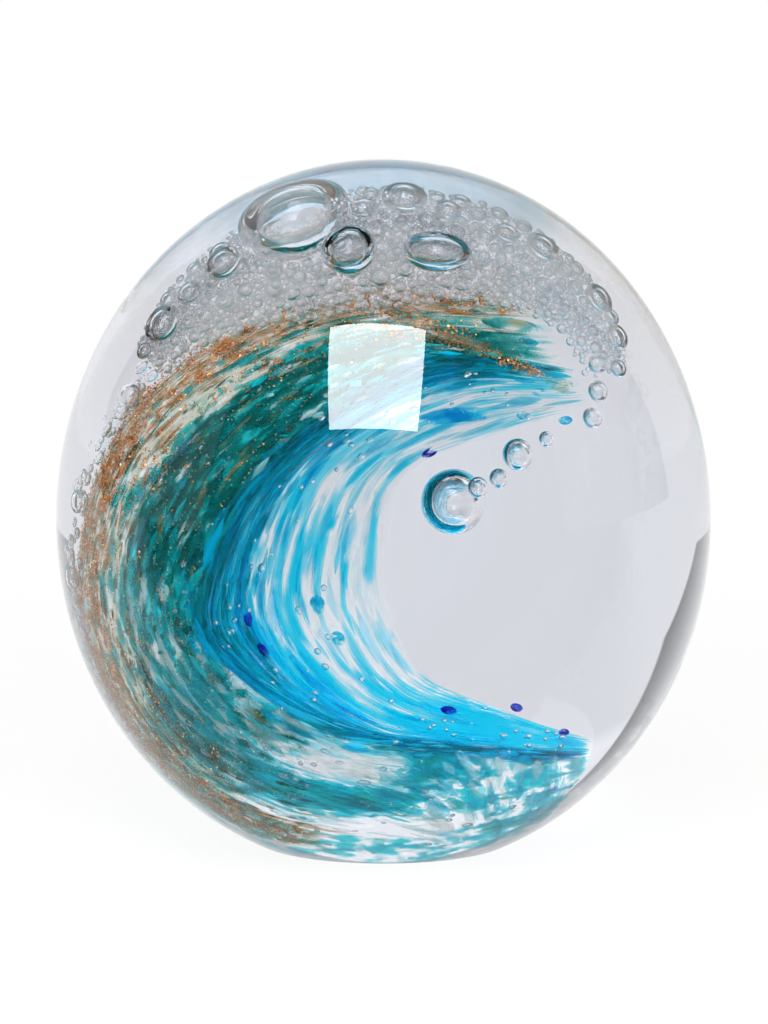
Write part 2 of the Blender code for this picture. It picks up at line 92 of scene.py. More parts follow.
def new_material(name):
    """An empty node material and its tree."""
    material = bpy.data.materials.new(name)
    material.use_nodes = True
    material.node_tree.nodes.clear()
    return material, material.node_tree


def deselect():
    bpy.ops.object.select_all(action="DESELECT")


def link(obj):
    bpy.context.scene.collection.objects.link(obj)


def finish_piece(obj, name, material, slot, *nodes):
    """Names a piece, gives it its finish, and ties it to the frame."""
    obj.name = name
    obj.data.name = name
    obj.data.materials.clear()
    obj.data.materials.append(material)
    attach(obj, "root")
    if nodes:
        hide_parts(*nodes)
    print(name, "has", len(obj.data.polygons), "faces of", material.name)
    return obj


# %% [markdown]
# ## The wave's shape
#
# The wave is a bent strap whose section turns through six curves. They repeat the CAD's driving
# points, in millimetres, from the end of the trough, round the back of the curl, to the crest's
# tip. A place on the wave is a station along it, 0 to 7, and a place round its section: 0 is the
# far edge, 2 the near ridge, 3 the shoulder and 4 the outline. Every layer, chip and bubble on the
# wave is put there by station and place, so they all stay on the same surface.

# %% Driving points of the wave
FAR_EDGE = [
    (21.1, -6.0, 20.9), (10.2, 4.0, 25.5), (3.8, 9.0, 28.6), (1.0, 11.0, 33.6),
    (0.0, 12.0, 39.5), (2.0, 11.0, 47.9), (10.0, 7.0, 52.4), (19.7, 0.0, 56.6),
]
RIDGE = [
    (24.3, -13.0, 18.3), (9.6, -19.0, 20.6), (-6.0, -21.0, 23.0), (-18.1, -22.0, 30.4),
    (-21.2, -21.0, 38.0), (-13.8, -18.5, 52.4), (3.0, -12.5, 64.0), (19.9, -7.0, 61.6),
]
SHOULDER = [
    (24.5, -14.0, 12.9), (7.8, -20.0, 12.4), (-13.5, -20.0, 14.4), (-25.8, -16.0, 24.7),
    (-28.5, -12.0, 39.3), (-22.0, -10.5, 53.6), (-4.5, -7.5, 65.2), (17.4, -4.5, 65.4),
]
OUTLINE = [
    (21.5, -11.0, 8.2), (6.5, -15.0, 6.6), (-15.0, -14.0, 7.9), (-27.8, -8.0, 18.4),
    (-31.0, -1.0, 36.9), (-24.3, 0.0, 55.4), (-6.5, 0.0, 66.6), (15.9, -0.5, 67.6),
]
BACK = [
    (15.0, -1.0, 8.9), (5.5, 7.0, 8.4), (-8.0, 11.0, 10.4), (-19.0, 13.0, 20.9),
    (-22.0, 15.0, 37.4), (-15.5, 14.0, 55.4), (0.5, 11.5, 65.0), (15.6, 5.0, 63.9),
]
FACE_HOLLOW = 0.06
LAST_STATION = len(RIDGE) - 1
CONTROLS = 6


# %% Points on the wave
def catmull(before, start, end, after, t):
    """Points on the smooth curve from start to end, t from 0 to 1."""
    return 0.5 * (
        2 * start
        + (end - before) * t
        + (2 * before - 5 * start + 4 * end - after) * t * t
        + (3 * start - before - 3 * end + after) * t * t * t
    )


def unit(vectors):
    return vectors / np.linalg.norm(vectors, axis=1, keepdims=True)


def along(points, places):
    """Points at fractional places on the open smooth curve through a row of points."""
    points = np.array(points, float)
    padded = np.vstack([2 * points[0] - points[1], points, 2 * points[-1] - points[-2]])
    places = np.clip(np.asarray(places, float), 0, len(points) - 1)
    first = np.minimum(places.astype(int), len(points) - 2)
    t = (places - first)[:, None]
    return catmull(*(padded[first + k] for k in range(4)), t)


def section_controls(stations):
    """The section's six control points at each station."""
    far, ridge, shoulder, outline, back = (
        along(curve, stations) for curve in (FAR_EDGE, RIDGE, SHOULDER, OUTLINE, BACK)
    )
    middle = (far + ridge) / 2
    inward = unit((shoulder + back) / 2 - middle)
    depth = np.linalg.norm(far - ridge, axis=1, keepdims=True) * FACE_HOLLOW
    return np.stack([far, middle + inward * depth, ridge, shoulder, outline, back])


def wave_points(stations, places):
    """Points on the wave's surface, one for each pair of station and place."""
    stations, places = np.broadcast_arrays(np.asarray(stations, float), np.asarray(places, float))
    controls = section_controls(stations)
    first = np.floor(places).astype(int)
    rows = np.arange(len(places))
    corners = (controls[(first + k) % CONTROLS, rows] for k in (-1, 0, 1, 2))
    return catmull(*corners, (places - first)[:, None])


def surface_run(stations, places, step):
    """How the wave's surface runs ahead and across, from a step before each place to a step after it,
    and how far apart those stations are."""
    low, high = np.maximum(stations - step, 0), np.minimum(stations + step, LAST_STATION)
    ahead = wave_points(high, places) - wave_points(low, places)
    across = wave_points(stations, places + step) - wave_points(stations, places - step)
    return ahead, across, high - low


def wave_normals(stations, places):
    """Outward directions of the wave's surface."""
    ahead, across, _ = surface_run(stations, places, step=0.02)
    normal = unit(np.cross(ahead, across))
    outward = wave_points(stations, places) - section_controls(stations).mean(0)
    return normal * np.sign((normal * outward).sum(1, keepdims=True))


outline_heights = along(OUTLINE, np.linspace(0, LAST_STATION, 99))[:, 2]
print("the wave is", round(float(np.ptp(outline_heights)), 1), "mm tall")

# %% [markdown]
# ## Clear glass
#
# The globe is soda-lime glass, fire-polished outside, so it has no roughness at all, and its foot
# is ground and polished flat. Its index of refraction, 1.5, makes the thick globe a strong lens: it
# shows the wave about a third larger than it is, and bends the view of the studio round the rim. The
# faint grey-lavender tint is partly what that much glass takes from the light and partly painted
# shade: it dims the white backdrop seen through the globe to the greyer studio light that shows
# there. Lamps shine straight through, by the Light Path trick, because bending their light would
# only give noise.


# %% Clear glass material
def let_lamps_through(tree, shader, tint):
    """Ends a material with the shader for the eye, and plain clear glass for what lamps send."""
    rays = add_node(tree, "LightPath").outputs
    clear = add_node(tree, "BsdfTransparent", {"Color": tint})
    mixed = add_node(tree, "MixShader", (rays["Is Shadow Ray"], shader, clear))
    add_node(tree, "OutputMaterial", {"Surface": mixed})


def clear_glass(name, tint, ior):
    """Smooth, clear, solid glass."""
    material, tree = new_material(name)
    glass = add_node(
        tree, "BsdfPrincipled",
        {"Base Color": tint, "Transmission Weight": 1.0, "Roughness": 0.0, "IOR": ior},
    )
    let_lamps_through(tree, glass, SHADOW_TINT)
    return material


GLASS_IOR = 1.5
# The globe's tint is partly the glass's own and partly painted shade, which greys the backdrop seen through
# it.
GLASS_TINT_AND_PAINTED_SHADE = linear("#DCDEE6")
SHADOW_TINT = linear("#B2B4B8")
globe_glass = clear_glass("fire_polished_soda_lime_glass", GLASS_TINT_AND_PAINTED_SHADE, GLASS_IOR)

# %% [markdown]
# ## The globe
#
# A ball primitive is stretched to the CAD casing's box in two halves, because the lower half is a
# little longer than the upper one. A bisect cuts the flat foot, and a small bevel takes the edge
# off it, as the grinding wheel does. The clear core and the clear fold are the same glass as the
# globe, and no surface shows where they are melted together, so this one body stands for all three.

# %% Make the globe
low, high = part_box("clear_casing")
EQUATOR = 0.0444
FOOT_WIDTH = 0.0356
half_width = (high.x - low.x) / 2
LOWER_HALF_AXIS = EQUATOR / math.sqrt(1 - (FOOT_WIDTH / 2 / half_width) ** 2)
BALL_SEGMENTS, BALL_RINGS = 192, 128
FOOT_BEVEL = 0.0006


def edit_mode():
    bpy.ops.object.mode_set(mode="EDIT")


def object_mode():
    bpy.ops.object.mode_set(mode="OBJECT")


def make_globe():
    """The stretched ball, cut flat at the foot."""
    deselect()
    bpy.ops.mesh.primitive_uv_sphere_add(segments=BALL_SEGMENTS, ring_count=BALL_RINGS, radius=half_width)
    obj = bpy.context.object
    upper = (high.z - EQUATOR) / half_width
    lower = LOWER_HALF_AXIS / half_width
    for vert in obj.data.vertices:
        vert.co.z = vert.co.z * (upper if vert.co.z > 0 else lower) + EQUATOR
    edit_mode()
    bpy.ops.mesh.select_all(action="SELECT")
    bpy.ops.mesh.bisect(plane_co=(0, 0, 0), plane_no=(0, 0, -1), use_fill=True, clear_outer=True)
    object_mode()
    bevel = obj.modifiers.new("foot edge", "BEVEL")
    bevel.width = FOOT_BEVEL
    bevel.segments = 3
    bevel.angle_limit = math.radians(30)
    bpy.ops.object.modifier_apply(modifier=bevel.name)
    bpy.ops.object.shade_smooth()
    return finish_piece(
        obj, "glass_globe", globe_glass, "clear_glass", "clear_casing", "wave_core", "crest_fold"
    )


make_globe()

# %% [markdown]
# ## Coloured glass
#
# Coloured glass shows two things at once: what shines through it, tinted, and its own milky body,
# lit from both sides. So each colour is a see-through shader mixed with a body that scatters light
# back and through. The tint follows the Beer-Lambert law: the colour is raised to the power of the
# glass's depth, so blue glass over blue glass grows deeper and not grey. A layer has two walls and
# light crosses both, so each wall takes half the depth. The glasses are melted together and have
# nearly the same index, so nothing is reflected where they meet.


# %% Coloured glass shader
WHITE = (1.0, 1.0, 1.0, 1.0)


def glass_body(tree, colour, solid, depth, glow):
    """Ends a material. solid is the share of scattering body, depth the strength of the tint, and
    glow the share of the body's light that comes from behind."""
    one_wall = add_node(tree, "Math", (depth, 0.5), operation="MULTIPLY")
    tint = add_node(tree, "Gamma", (colour, one_wall))
    clear = add_node(tree, "BsdfTransparent", {"Color": tint})
    front = add_node(tree, "BsdfDiffuse", {"Color": colour})
    through = add_node(tree, "BsdfTranslucent", {"Color": colour})
    body = add_node(tree, "MixShader", (glow, front, through))
    mixed = add_node(tree, "MixShader", (solid, clear, body))
    add_node(tree, "OutputMaterial", {"Surface": mixed})


def stretched_noise(tree, flow, length, width, seed):
    """Noise with grains of a length and width in millimetres, the length along U."""
    place = add_node(
        tree, "Mapping",
        {"Vector": flow, "Location": (seed, seed * 0.7, seed * 1.3), "Scale": (1 / length, 1 / width, 1.0)},
    )
    return add_node(tree, "TexNoise", {"Vector": place, "Scale": 1.0, "Detail": 4.0, "Roughness": 0.5})


# %% [markdown]
# ## Streaked colour
#
# Coloured glass for such a wave is crushed to chips, picked up on the hot gather and drawn out, so
# each chip becomes a streak along the wave. The layer under the chips is a wash of the same colours.
# Its pattern follows the wave, so it reads the piece's own UV map, which is in millimetres: U along
# the wave and V round its section. Each colour in it has a streak length and width in millimetres.


# %% Washes of colour
WAVER, WAVER_LENGTH = 2.5, 14.0
SOFTNESS = 0.06
RAGGED_END = (7.0, 0.9, 40.0)
RAGGED_FROM, RAGGED_TO = 0.55, 0.95
WASH_GLOW, CHIP_GLOW = 0.45, 0.5


def wavering_flow(tree):
    """UV in millimetres, made to waver as drawn glass does."""
    uv = add_node(tree, "UVMap", uv_map="UVMap")
    noise = add_node(tree, "TexNoise", {"Vector": uv, "Scale": 1 / WAVER_LENGTH, "Detail": 3.0})
    half, reach = (0.5, 0.5, 0.5), (WAVER, WAVER, 0.0)
    shift = add_node(tree, "VectorMath", (noise.outputs["Color"], half), operation="SUBTRACT")
    shift = add_node(tree, "VectorMath", (shift, reach), operation="MULTIPLY")
    return add_node(tree, "VectorMath", (uv, shift), operation="ADD")


# %% Washed glass
def washed_glass(name, base, washes):
    """base is (colour, solid, depth). A wash is (colour, solid, depth, streak length, streak width,
    the noise level where it starts, how much the attribute deep adds to the noise, seed)."""
    material, tree = new_material(name)
    flow = wavering_flow(tree)
    deep, fade = (
        add_node(tree, "Attribute", attribute_name=own).outputs["Fac"] for own in ("deep", "fade")
    )
    colour, solid, depth = linear(base[0]), base[1], base[2]
    for tone, wash_solid, wash_depth, length, width, level, pull, seed in washes:
        noise = stretched_noise(tree, flow, length, width, seed)
        noise = add_node(tree, "Math", (deep, pull, noise), operation="MULTIPLY_ADD")
        span = (noise, level - SOFTNESS, level + SOFTNESS)
        mask = add_node(tree, "MapRange", span, interpolation_type="SMOOTHSTEP")
        colour = add_node(tree, "Mix", {0: mask, 6: colour, 7: linear(tone)}, data_type="RGBA").outputs[2]
        solid = add_node(tree, "Mix", {0: mask, 2: solid, 3: wash_solid})
        depth = add_node(tree, "Mix", {0: mask, 2: depth, 3: wash_depth})
    ragged = stretched_noise(tree, flow, *RAGGED_END)
    ragged = add_node(tree, "Math", (fade, ragged), operation="ADD")
    shown = add_node(tree, "MapRange", (ragged, RAGGED_FROM, RAGGED_TO), interpolation_type="SMOOTHSTEP")
    solid = add_node(tree, "Math", (solid, shown), operation="MULTIPLY")
    depth = add_node(tree, "Math", (depth, shown), operation="MULTIPLY")
    glass_body(tree, colour, solid, depth, WASH_GLOW)
    return material


# %% Glass of each layer
PALE, LIGHT_AZURE, AZURE, DEEP_AZURE = "#D4F4FA", "#48D6F0", "#08CCEC", "#00B8DC"
TURQUOISE, TEAL, DARK_TEAL = "#18CCD4", "#10A8A6", "#087A74"
OLIVE, BROWN, COPPER_BROWN, MILKY = "#9C9668", "#94683C", "#C08048", "#E6EAE6"

pale_glass = washed_glass(
    "pale_streaked_glass", (PALE, 0.05, 0.1),
    [
        (LIGHT_AZURE, 0.12, 0.6, 10.0, 2.4, 0.31, 0.5, 3.1),
        (AZURE, 0.20, 0.7, 8.0, 1.6, 0.45, 0.5, 7.4),
        (MILKY, 0.16, 0.0, 9.0, 1.3, 0.55, -0.3, 9.7),
        (AZURE, 0.25, 0.7, 3.5, 1.6, 0.60, 0.4, 12.2),
    ],
)
azure_glass = washed_glass(
    "azure_streaked_glass", (LIGHT_AZURE, 0.22, 0.7),
    [
        (AZURE, 0.26, 0.8, 8.0, 2.6, 0.38, 0.6, 5.2),
        (MILKY, 0.22, 0.0, 6.0, 1.4, 0.61, -0.5, 11.9),
        (DEEP_AZURE, 0.28, 0.8, 4.0, 2.0, 0.54, 0.3, 17.3),
        ("#0AA0AC", 0.25, 0.8, 3.0, 2.2, 0.53, 0.2, 21.1),
    ],
)
teal_glass = washed_glass(
    "teal_streaked_glass", (TEAL, 0.28, 0.6),
    [
        (TURQUOISE, 0.26, 0.5, 6.0, 2.6, 0.50, -0.6, 2.3),
        (DARK_TEAL, 0.30, 1.1, 4.5, 2.2, 0.53, 0.5, 8.4),
        (OLIVE, 0.30, 0.6, 6.0, 1.4, 0.63, 0.0, 13.7),
        (MILKY, 0.34, 0.0, 5.0, 1.5, 0.60, -0.5, 23.6),
    ],
)
root_glass = washed_glass(
    "milky_turquoise_glass", (MILKY, 0.06, 0.0),
    [
        (TURQUOISE, 0.15, 0.8, 5.0, 4.0, 0.46, 0.6, 3.9),
        ("#10C0D0", 0.18, 1.2, 3.6, 2.8, 0.53, 0.7, 10.4),
        (TEAL, 0.20, 0.8, 3.0, 2.0, 0.64, 0.6, 12.9),
        (MILKY, 0.12, 0.0, 4.0, 2.6, 0.55, -0.6, 16.7),
    ],
)
olive_glass = washed_glass(
    "olive_streaked_glass", ("#C4C2A4", 0.15, 0.4),
    [
        (MILKY, 0.45, 0.0, 6.0, 1.0, 0.56, 0.0, 4.4),
        (BROWN, 0.35, 0.7, 4.0, 0.8, 0.58, 0.0, 9.6),
        (TEAL, 0.35, 0.9, 5.0, 1.2, 0.53, 0.0, 14.8),
    ],
)
copper_glass = washed_glass(
    "copper_aventurine_glass", ("#D0C0A0", 0.10, 0.3),
    [
        (COPPER_BROWN, 0.40, 0.8, 2.2, 1.2, 0.51, 0.0, 6.2),
        (BROWN, 0.40, 1.0, 1.5, 0.8, 0.57, 0.0, 12.4),
        (TEAL, 0.35, 0.7, 2.5, 1.0, 0.58, 0.0, 18.6),
        (MILKY, 0.40, 0.0, 2.5, 0.8, 0.61, 0.0, 22.6),
    ],
)

# %% [markdown]
# ## Layers on the wave
#
# Each layer starts as a grid primitive whose points are set onto the wave by station and place,
# and Solidify gives it its thickness, inwards. The grid keeps a UV map in millimetres. Two
# attributes steer its washes: fade thins the layer out where its colour runs into clear glass, and
# deep moves the pattern towards its deeper colours, or where it is negative towards the milky ones.

# %% Measures on a layer
LAYER_THICKNESS = 0.30 * MM
ALONG, ACROSS = 180, 24


def arc_length(points):
    steps = np.linalg.norm(np.diff(points, axis=0), axis=1)
    return np.concatenate([[0.0], np.cumsum(steps)])


def vertex_places(obj):
    """The mesh's points, one row for each vertex."""
    co = np.zeros(len(obj.data.vertices) * 3)
    obj.data.vertices.foreach_get("co", co)
    return co.reshape(-1, 3)


def set_uv(obj, layer, uv):
    """Fills a UV map from one row for each vertex."""
    corners = np.zeros(len(obj.data.loops), int)
    obj.data.loops.foreach_get("vertex_index", corners)
    layer.data.foreach_set("uv", uv[corners].astype(np.float32).ravel())
    layer.name = "UVMap"


def millimetre_uv(obj, stations, places, middle):
    """U is the length along the wave at the layer's middle, V the length round the section."""
    fine = np.linspace(0, LAST_STATION, 141)
    lengths = arc_length(wave_points(fine, np.full_like(fine, middle)))
    u = np.interp(stations, fine, lengths)
    turn = np.linspace(0, CONTROLS, 121)
    widths = arc_length(wave_points(np.full_like(turn, 3.5), turn))
    v = np.interp(places, turn, widths)
    set_uv(obj, obj.data.uv_layers[0], np.column_stack([u, v]))


def set_attribute(obj, name, values):
    values = np.ascontiguousarray(values, np.float32).ravel()
    obj.data.attributes.new(name, "FLOAT", "POINT").data.foreach_set("value", values)


def nowhere(stations, places):
    """0 all over."""
    return np.zeros(len(stations))


# %% Make a layer
def make_layer(name, span, fade, deep, sunk, material, slot, *nodes):
    """fade and deep are functions of stations and places, sunk is how far in the layer lies."""
    deselect()
    bpy.ops.mesh.primitive_grid_add(x_subdivisions=ALONG, y_subdivisions=ACROSS, size=1, calc_uvs=True)
    obj = bpy.context.object
    co = vertex_places(obj) + 0.5
    stations = co[:, 0] * LAST_STATION
    places = span[0] + co[:, 1] * (span[1] - span[0])
    normals = wave_normals(stations, places)
    obj.data.vertices.foreach_set("co", ((wave_points(stations, places) - normals * sunk) * MM).ravel())
    millimetre_uv(obj, stations, places, sum(span) / 2)
    set_attribute(obj, "fade", np.clip(fade(stations, places), 0, 1))
    set_attribute(obj, "deep", deep(stations, places))
    obj.data.update()
    outward = sum(
        face.normal.dot(Vector(normals[face.vertices[0]])) for face in list(obj.data.polygons)[::37]
    )
    if outward < 0:
        obj.data.flip_normals()
    wall = obj.modifiers.new("thickness", "SOLIDIFY")
    wall.thickness = LAYER_THICKNESS
    wall.offset = -1.0
    bpy.ops.object.modifier_apply(modifier=wall.name)
    bpy.ops.object.shade_smooth()
    return finish_piece(obj, name, material, slot, *nodes)


# %% Fades and depths
def towards(values, start, end):
    """0 at start, 1 at end, straight between them and flat outside."""
    return np.clip((values - start) / (end - start), 0, 1)


def ends(stations, first=0.4, last=6.1):
    """Layers thin out at both ends of the wave."""
    return towards(stations, 0, first) * towards(stations, LAST_STATION, last)


def bump_at(values, middle, width):
    """1 at the middle, falling smoothly to 0 on both sides."""
    return np.exp(-(((values - middle) / width) ** 2))


def root_deep(s, p):
    """Where the root is teal and not milky: in a bundle of streaks below the ridge and at the end."""
    bundle = bump_at(p, 2.9, 0.2) * towards(s, 1.1, 1.5) * towards(s, 3.2, 2.6)
    patch = bump_at(s, 1.2, 0.16) * bump_at(p, 2.35, 0.4)
    blocks = bump_at(s, 0.45, 0.3) * bump_at(p, 3.8, 0.4)
    lit = bump_at(p, 3.5, 0.3) * bump_at(s, 1.2, 0.6) + bump_at(p, 2.45, 0.25) * bump_at(s, 1.75, 0.4)
    return 0.3 * (bundle + patch + blocks - 1.3 * lit)


def face_deep(s, p):
    """Azure grows richer towards the ridge, and over the whole face at the trough."""
    return 0.3 * (p - 1.1) + 0.38 * towards(s, 2.6, 1.2)


# %% The six layers
make_layer(
    "pale_wash", (0.05, 1.0), lambda s, p: towards(p, 0.05, 0.5) * ends(s), face_deep, 0.0,
    pale_glass, "pale_blue_glass", "pale_streak_skin",
)
make_layer(
    "azure_wash", (1.0, 2.0), lambda s, p: (0.6 + 0.4 * towards(p, 1.0, 1.4)) * ends(s),
    face_deep, 0.0, azure_glass, "azure_glass", "azure_skin",
)
make_layer(
    "teal_wash", (2.0, 3.0), lambda s, p: ends(s) * towards(s, 1.9, 3.0),
    lambda s, p: 0.35 * towards(s, 3.4, 4.8) - 0.15, 0.0, teal_glass, "teal_glass", "teal_skin",
)
make_layer(
    "olive_wash", (3.0, 3.5), lambda s, p: ends(s) * towards(s, 1.9, 3.0), nowhere, 0.0,
    olive_glass, "olive_glass", "olive_streak_band",
)
make_layer(
    "copper_wash", (3.5, 4.3), lambda s, p: towards(p, 4.3, 4.1) * ends(s, 0.4, 6.4) * towards(s, 1.5, 2.2),
    nowhere, 0.0, copper_glass, "copper_aventurine", "copper_aventurine_band",
)
make_layer(
    "root_wash", (2.0, 4.6), lambda s, p: ends(s, 0.2) * towards(s, 3.3, 2.4) * towards(p, 4.6, 4.1),
    root_deep, 0.6, root_glass, "teal_glass",
)

# %% [markdown]
# ## Many copies of one shape
#
# Chips, flakes and fine bubbles repeat in thousands. Each shape is modelled once from a primitive,
# and its points are copied with numpy into one mesh, each copy with its own size, turn and place.

# %% Copies
rng = np.random.default_rng(7)


def template(add_primitive, **settings):
    """Points, corners and face starts of a primitive, which is then removed."""
    deselect()
    add_primitive(**settings)
    obj = bpy.context.object
    points = np.array([vert.co for vert in obj.data.vertices])
    corners = np.array([loop.vertex_index for loop in obj.data.loops])
    starts = np.array([face.loop_start for face in obj.data.polygons])
    bpy.data.objects.remove(obj, do_unlink=True)
    return points, corners, starts


def mesh_of_copies(name, shape, placed, uv=None):
    """One object from placed, the points of every copy in millimetres."""
    points, corners, starts = shape
    number = np.arange(len(placed))[:, None]
    all_corners = (corners[None] + number * len(points)).ravel()
    all_starts = (starts[None] + number * len(corners)).ravel()
    mesh = bpy.data.meshes.new(name)
    mesh.vertices.add(placed.shape[0] * placed.shape[1])
    mesh.vertices.foreach_set("co", (placed * MM).ravel())
    mesh.loops.add(len(all_corners))
    mesh.loops.foreach_set("vertex_index", all_corners)
    mesh.polygons.add(len(all_starts))
    mesh.polygons.foreach_set("loop_start", all_starts)
    if uv is not None:
        layer = mesh.uv_layers.new(name="UVMap")
        layer.data.foreach_set("uv", uv.reshape(-1, 2)[all_corners].astype(np.float32).ravel())
    mesh.update()
    mesh.shade_smooth()
    obj = bpy.data.objects.new(name, mesh)
    link(obj)
    return obj


def placed_copies(shape, frames, centres):
    return np.einsum("nij,pj->npi", frames, shape[0]) + centres[:, None, :]


# %% [markdown]
# ## Chips drawn out into streaks
#
# Each chip of crushed glass is a flat lens, long and thin after drawing. It lies in the wave's
# surface or a little under it, so the eye looks through several before it meets clear glass, and
# that depth is what makes the colour rich. A chip's tone picks its colour on the zone's ramp, from
# milky to dark. Its edge is thin, so the body attribute fades it out there.

# %% Chip shape and glass
CHIP_SIDES, CHIP_RINGS = 4, 8
chip_shape = template(
    bpy.ops.mesh.primitive_uv_sphere_add, segments=CHIP_SIDES, ring_count=CHIP_RINGS, radius=0.5,
    rotation=(0.0, math.pi / 2, 0.0),
)


CHIP_GRAIN = (2.2, 0.4, 4.0)
CHIP_EDGE, CHIP_MIDDLE = 0.05, 0.8


def chip_glass(name, depth, ramp_stops):
    """Glass for drawn-out chips. A ramp stop is (tone, colour), and depth the strength of the tint."""
    material, tree = new_material(name)
    tone, body, solid = (
        add_node(tree, "Attribute", attribute_name=own).outputs["Fac"] for own in ("tone", "body", "solid")
    )
    ramp = add_node(tree, "ValToRGB", {0: tone})
    elements = ramp.color_ramp.elements
    while len(elements) < len(ramp_stops):
        elements.new(0.5)
    for element, (position, colour) in zip(elements, ramp_stops):
        element.position = position
        element.color = linear(colour)
    grain = stretched_noise(tree, add_node(tree, "UVMap", uv_map="UVMap"), *CHIP_GRAIN)
    grain = add_node(tree, "Math", (grain, 0.5), operation="ADD")
    body = add_node(tree, "Math", (body, grain), operation="MULTIPLY")
    share = add_node(tree, "MapRange", (body, CHIP_EDGE, CHIP_MIDDLE), interpolation_type="SMOOTHSTEP")
    solid = add_node(tree, "Math", (share, solid), operation="MULTIPLY")
    depth = add_node(tree, "Math", (share, depth), operation="MULTIPLY")
    glass_body(tree, ramp, solid, depth, CHIP_GLOW)
    return material


# %% Make chips
def surface_steps(stations, places):
    """How far the wave's surface runs, in millimetres, for one unit of station and of place."""
    step = 0.05
    ahead, across, apart = surface_run(stations, places, step)
    return np.linalg.norm(ahead, axis=1) / apart, np.linalg.norm(across, axis=1) / (2 * step)


CHIP_WOBBLE = 0.18
CHIP_FLATNESS, THICKEST_CHIP = 0.35, 0.4
CHIP_MARGIN = 0.02


def make_chips(name, stations, places, lengths, widths, heights, angles, tones, solids, material, slot):
    """Chips at stations and places. An angle of 0 lies along the wave and 90 degrees round it."""
    local = chip_shape[0]
    count, corners = len(stations), len(local)
    run, turn = surface_steps(stations, places)
    reach = lengths * np.abs(np.cos(angles)) / 2 / run
    stations = np.clip(stations, reach + CHIP_MARGIN, LAST_STATION - reach - CHIP_MARGIN)
    wobble = 1 + rng.normal(0, CHIP_WOBBLE, (count, corners))
    a = local[None, :, 0] * lengths[:, None]
    b = local[None, :, 1] * widths[:, None] * wobble
    cos, sin = np.cos(angles)[:, None], np.sin(angles)[:, None]
    s = stations[:, None] + (a * cos - b * sin) / run[:, None]
    p = places[:, None] + (a * sin + b * cos) / turn[:, None]
    thickness = np.minimum(widths * CHIP_FLATNESS, THICKEST_CHIP)
    up = heights[:, None] + local[None, :, 2] * thickness[:, None]
    flat_s, flat_p = s.ravel(), p.ravel()
    placed = wave_points(flat_s, flat_p) + wave_normals(flat_s, flat_p) * up.ravel()[:, None]
    offset = rng.uniform(0, 200, (count, 1, 2))
    uv = np.stack([a, b], axis=2) + offset
    obj = mesh_of_copies(name, chip_shape, placed.reshape(count, corners, 3), uv)
    ring = np.hypot(local[:, 1], local[:, 2]) * 2
    body = (1 - np.abs(local[:, 1]) * 2) * np.sqrt(ring)
    set_attribute(obj, "body", np.broadcast_to(body, (count, corners)))
    set_attribute(obj, "tone", np.repeat(np.clip(tones, 0, 1), corners))
    set_attribute(obj, "solid", np.repeat(solids, corners))
    return finish_piece(obj, name, material, slot)


# %% [markdown]
# ## Where each colour lies
#
# The far half of the inner face holds faint pale streaks, and the near half bright azure ones that
# darken towards the ridge. Teal, dark green and olive chips cover the outer side, short and mottled,
# with a few milky streaks that are partly painted glints, white marks standing in for the lamp caught
# on bumps, and light dabs lie at the crest. Fine olive and milky threads lie behind them. Low down
# the chips were dragged round the wave towards the foot, so they turn across it and fan out. The
# chips grow fewer towards both ends of the wave, where it runs out into clear glass.

# %% Tones of the chips
BLUE_TONES = [
    (0.0, MILKY), (0.15, "#D6F2FA"), (0.35, LIGHT_AZURE), (0.6, AZURE), (0.82, DEEP_AZURE), (1.0, "#0A96A2"),
]
TEAL_TONES = [
    (0.0, MILKY), (0.08, "#A8E4E4"), (0.2, TURQUOISE), (0.45, TEAL), (0.65, DARK_TEAL), (0.75, "#0AA6CC"),
    (0.86, OLIVE), (0.94, BROWN), (1.0, "#2C6A4C"),
]
OLIVE_TONES = [(0.0, MILKY), (0.25, "#D2D0BA"), (0.4, OLIVE), (0.6, BROWN), (0.75, TEAL), (1.0, "#5A4A30")]
ROOT_TONES = [
    (0.0, MILKY), (0.2, "#C4F0F4"), (0.4, "#50D4E6"), (0.65, TURQUOISE), (0.9, "#10B0B8"), (1.0, TEAL),
]


# %% A zone of chips
CHIP_ENDS = (0.25, 5.4)
LEAN_SPREAD, TONE_SPREAD = 0.06, 0.08


def log_uniform(low, high, count):
    return np.exp(rng.uniform(np.log(low), np.log(high), count))


def zone(name, count, stations, places, lengths, widths, heights, lean, tone, tones, solids, material, slot):
    """Chips at random in the spans of stations and places, fewer towards both ends of the wave. tone is
    a function of both, and each chip adds its own share of the span tones."""
    s, p = rng.uniform(*stations, count), rng.uniform(*places, count)
    kept = rng.uniform(0, 1, count) < ends(s, *CHIP_ENDS)
    s, p = s[kept], p[kept]
    count = len(s)
    make_chips(
        name, s, p, log_uniform(*lengths, count), log_uniform(*widths, count), rng.uniform(*heights, count),
        lean(s) + rng.normal(0, LEAN_SPREAD, count),
        tone(s, p) + rng.uniform(*tones, count) + rng.normal(0, TONE_SPREAD, count),
        rng.uniform(*solids, count), material, slot,
    )


def straight(s):
    """Chips lie along the wave."""
    return 0 * s


def dragged(s):
    """Chips turn round the wave towards the trough's end."""
    return -np.radians(np.interp(s, [0.6, 0.9, 1.2, 1.6, 3.0], [80.0, 55.0, 25.0, 8.0, 0.0]))


def anywhere(s):
    """Chips lie every way."""
    return rng.uniform(-1.5, 1.5, len(s))


def root_tone(s, p):
    """The root's chips are darker where its wash is."""
    return 0.36 + 1.3 * root_deep(s, p)


blue_chips = chip_glass("azure_glass_chips", 0.40, BLUE_TONES)
teal_chips = chip_glass("teal_glass_chips", 0.45, TEAL_TONES)
olive_chips = chip_glass("olive_glass_threads", 0.8, OLIVE_TONES)
root_chips = chip_glass("turquoise_glass_chips", 0.4, ROOT_TONES)
BLUES, TEALS, ROOTS = (blue_chips, "azure_glass"), (teal_chips, "teal_glass"), (root_chips, "teal_glass")

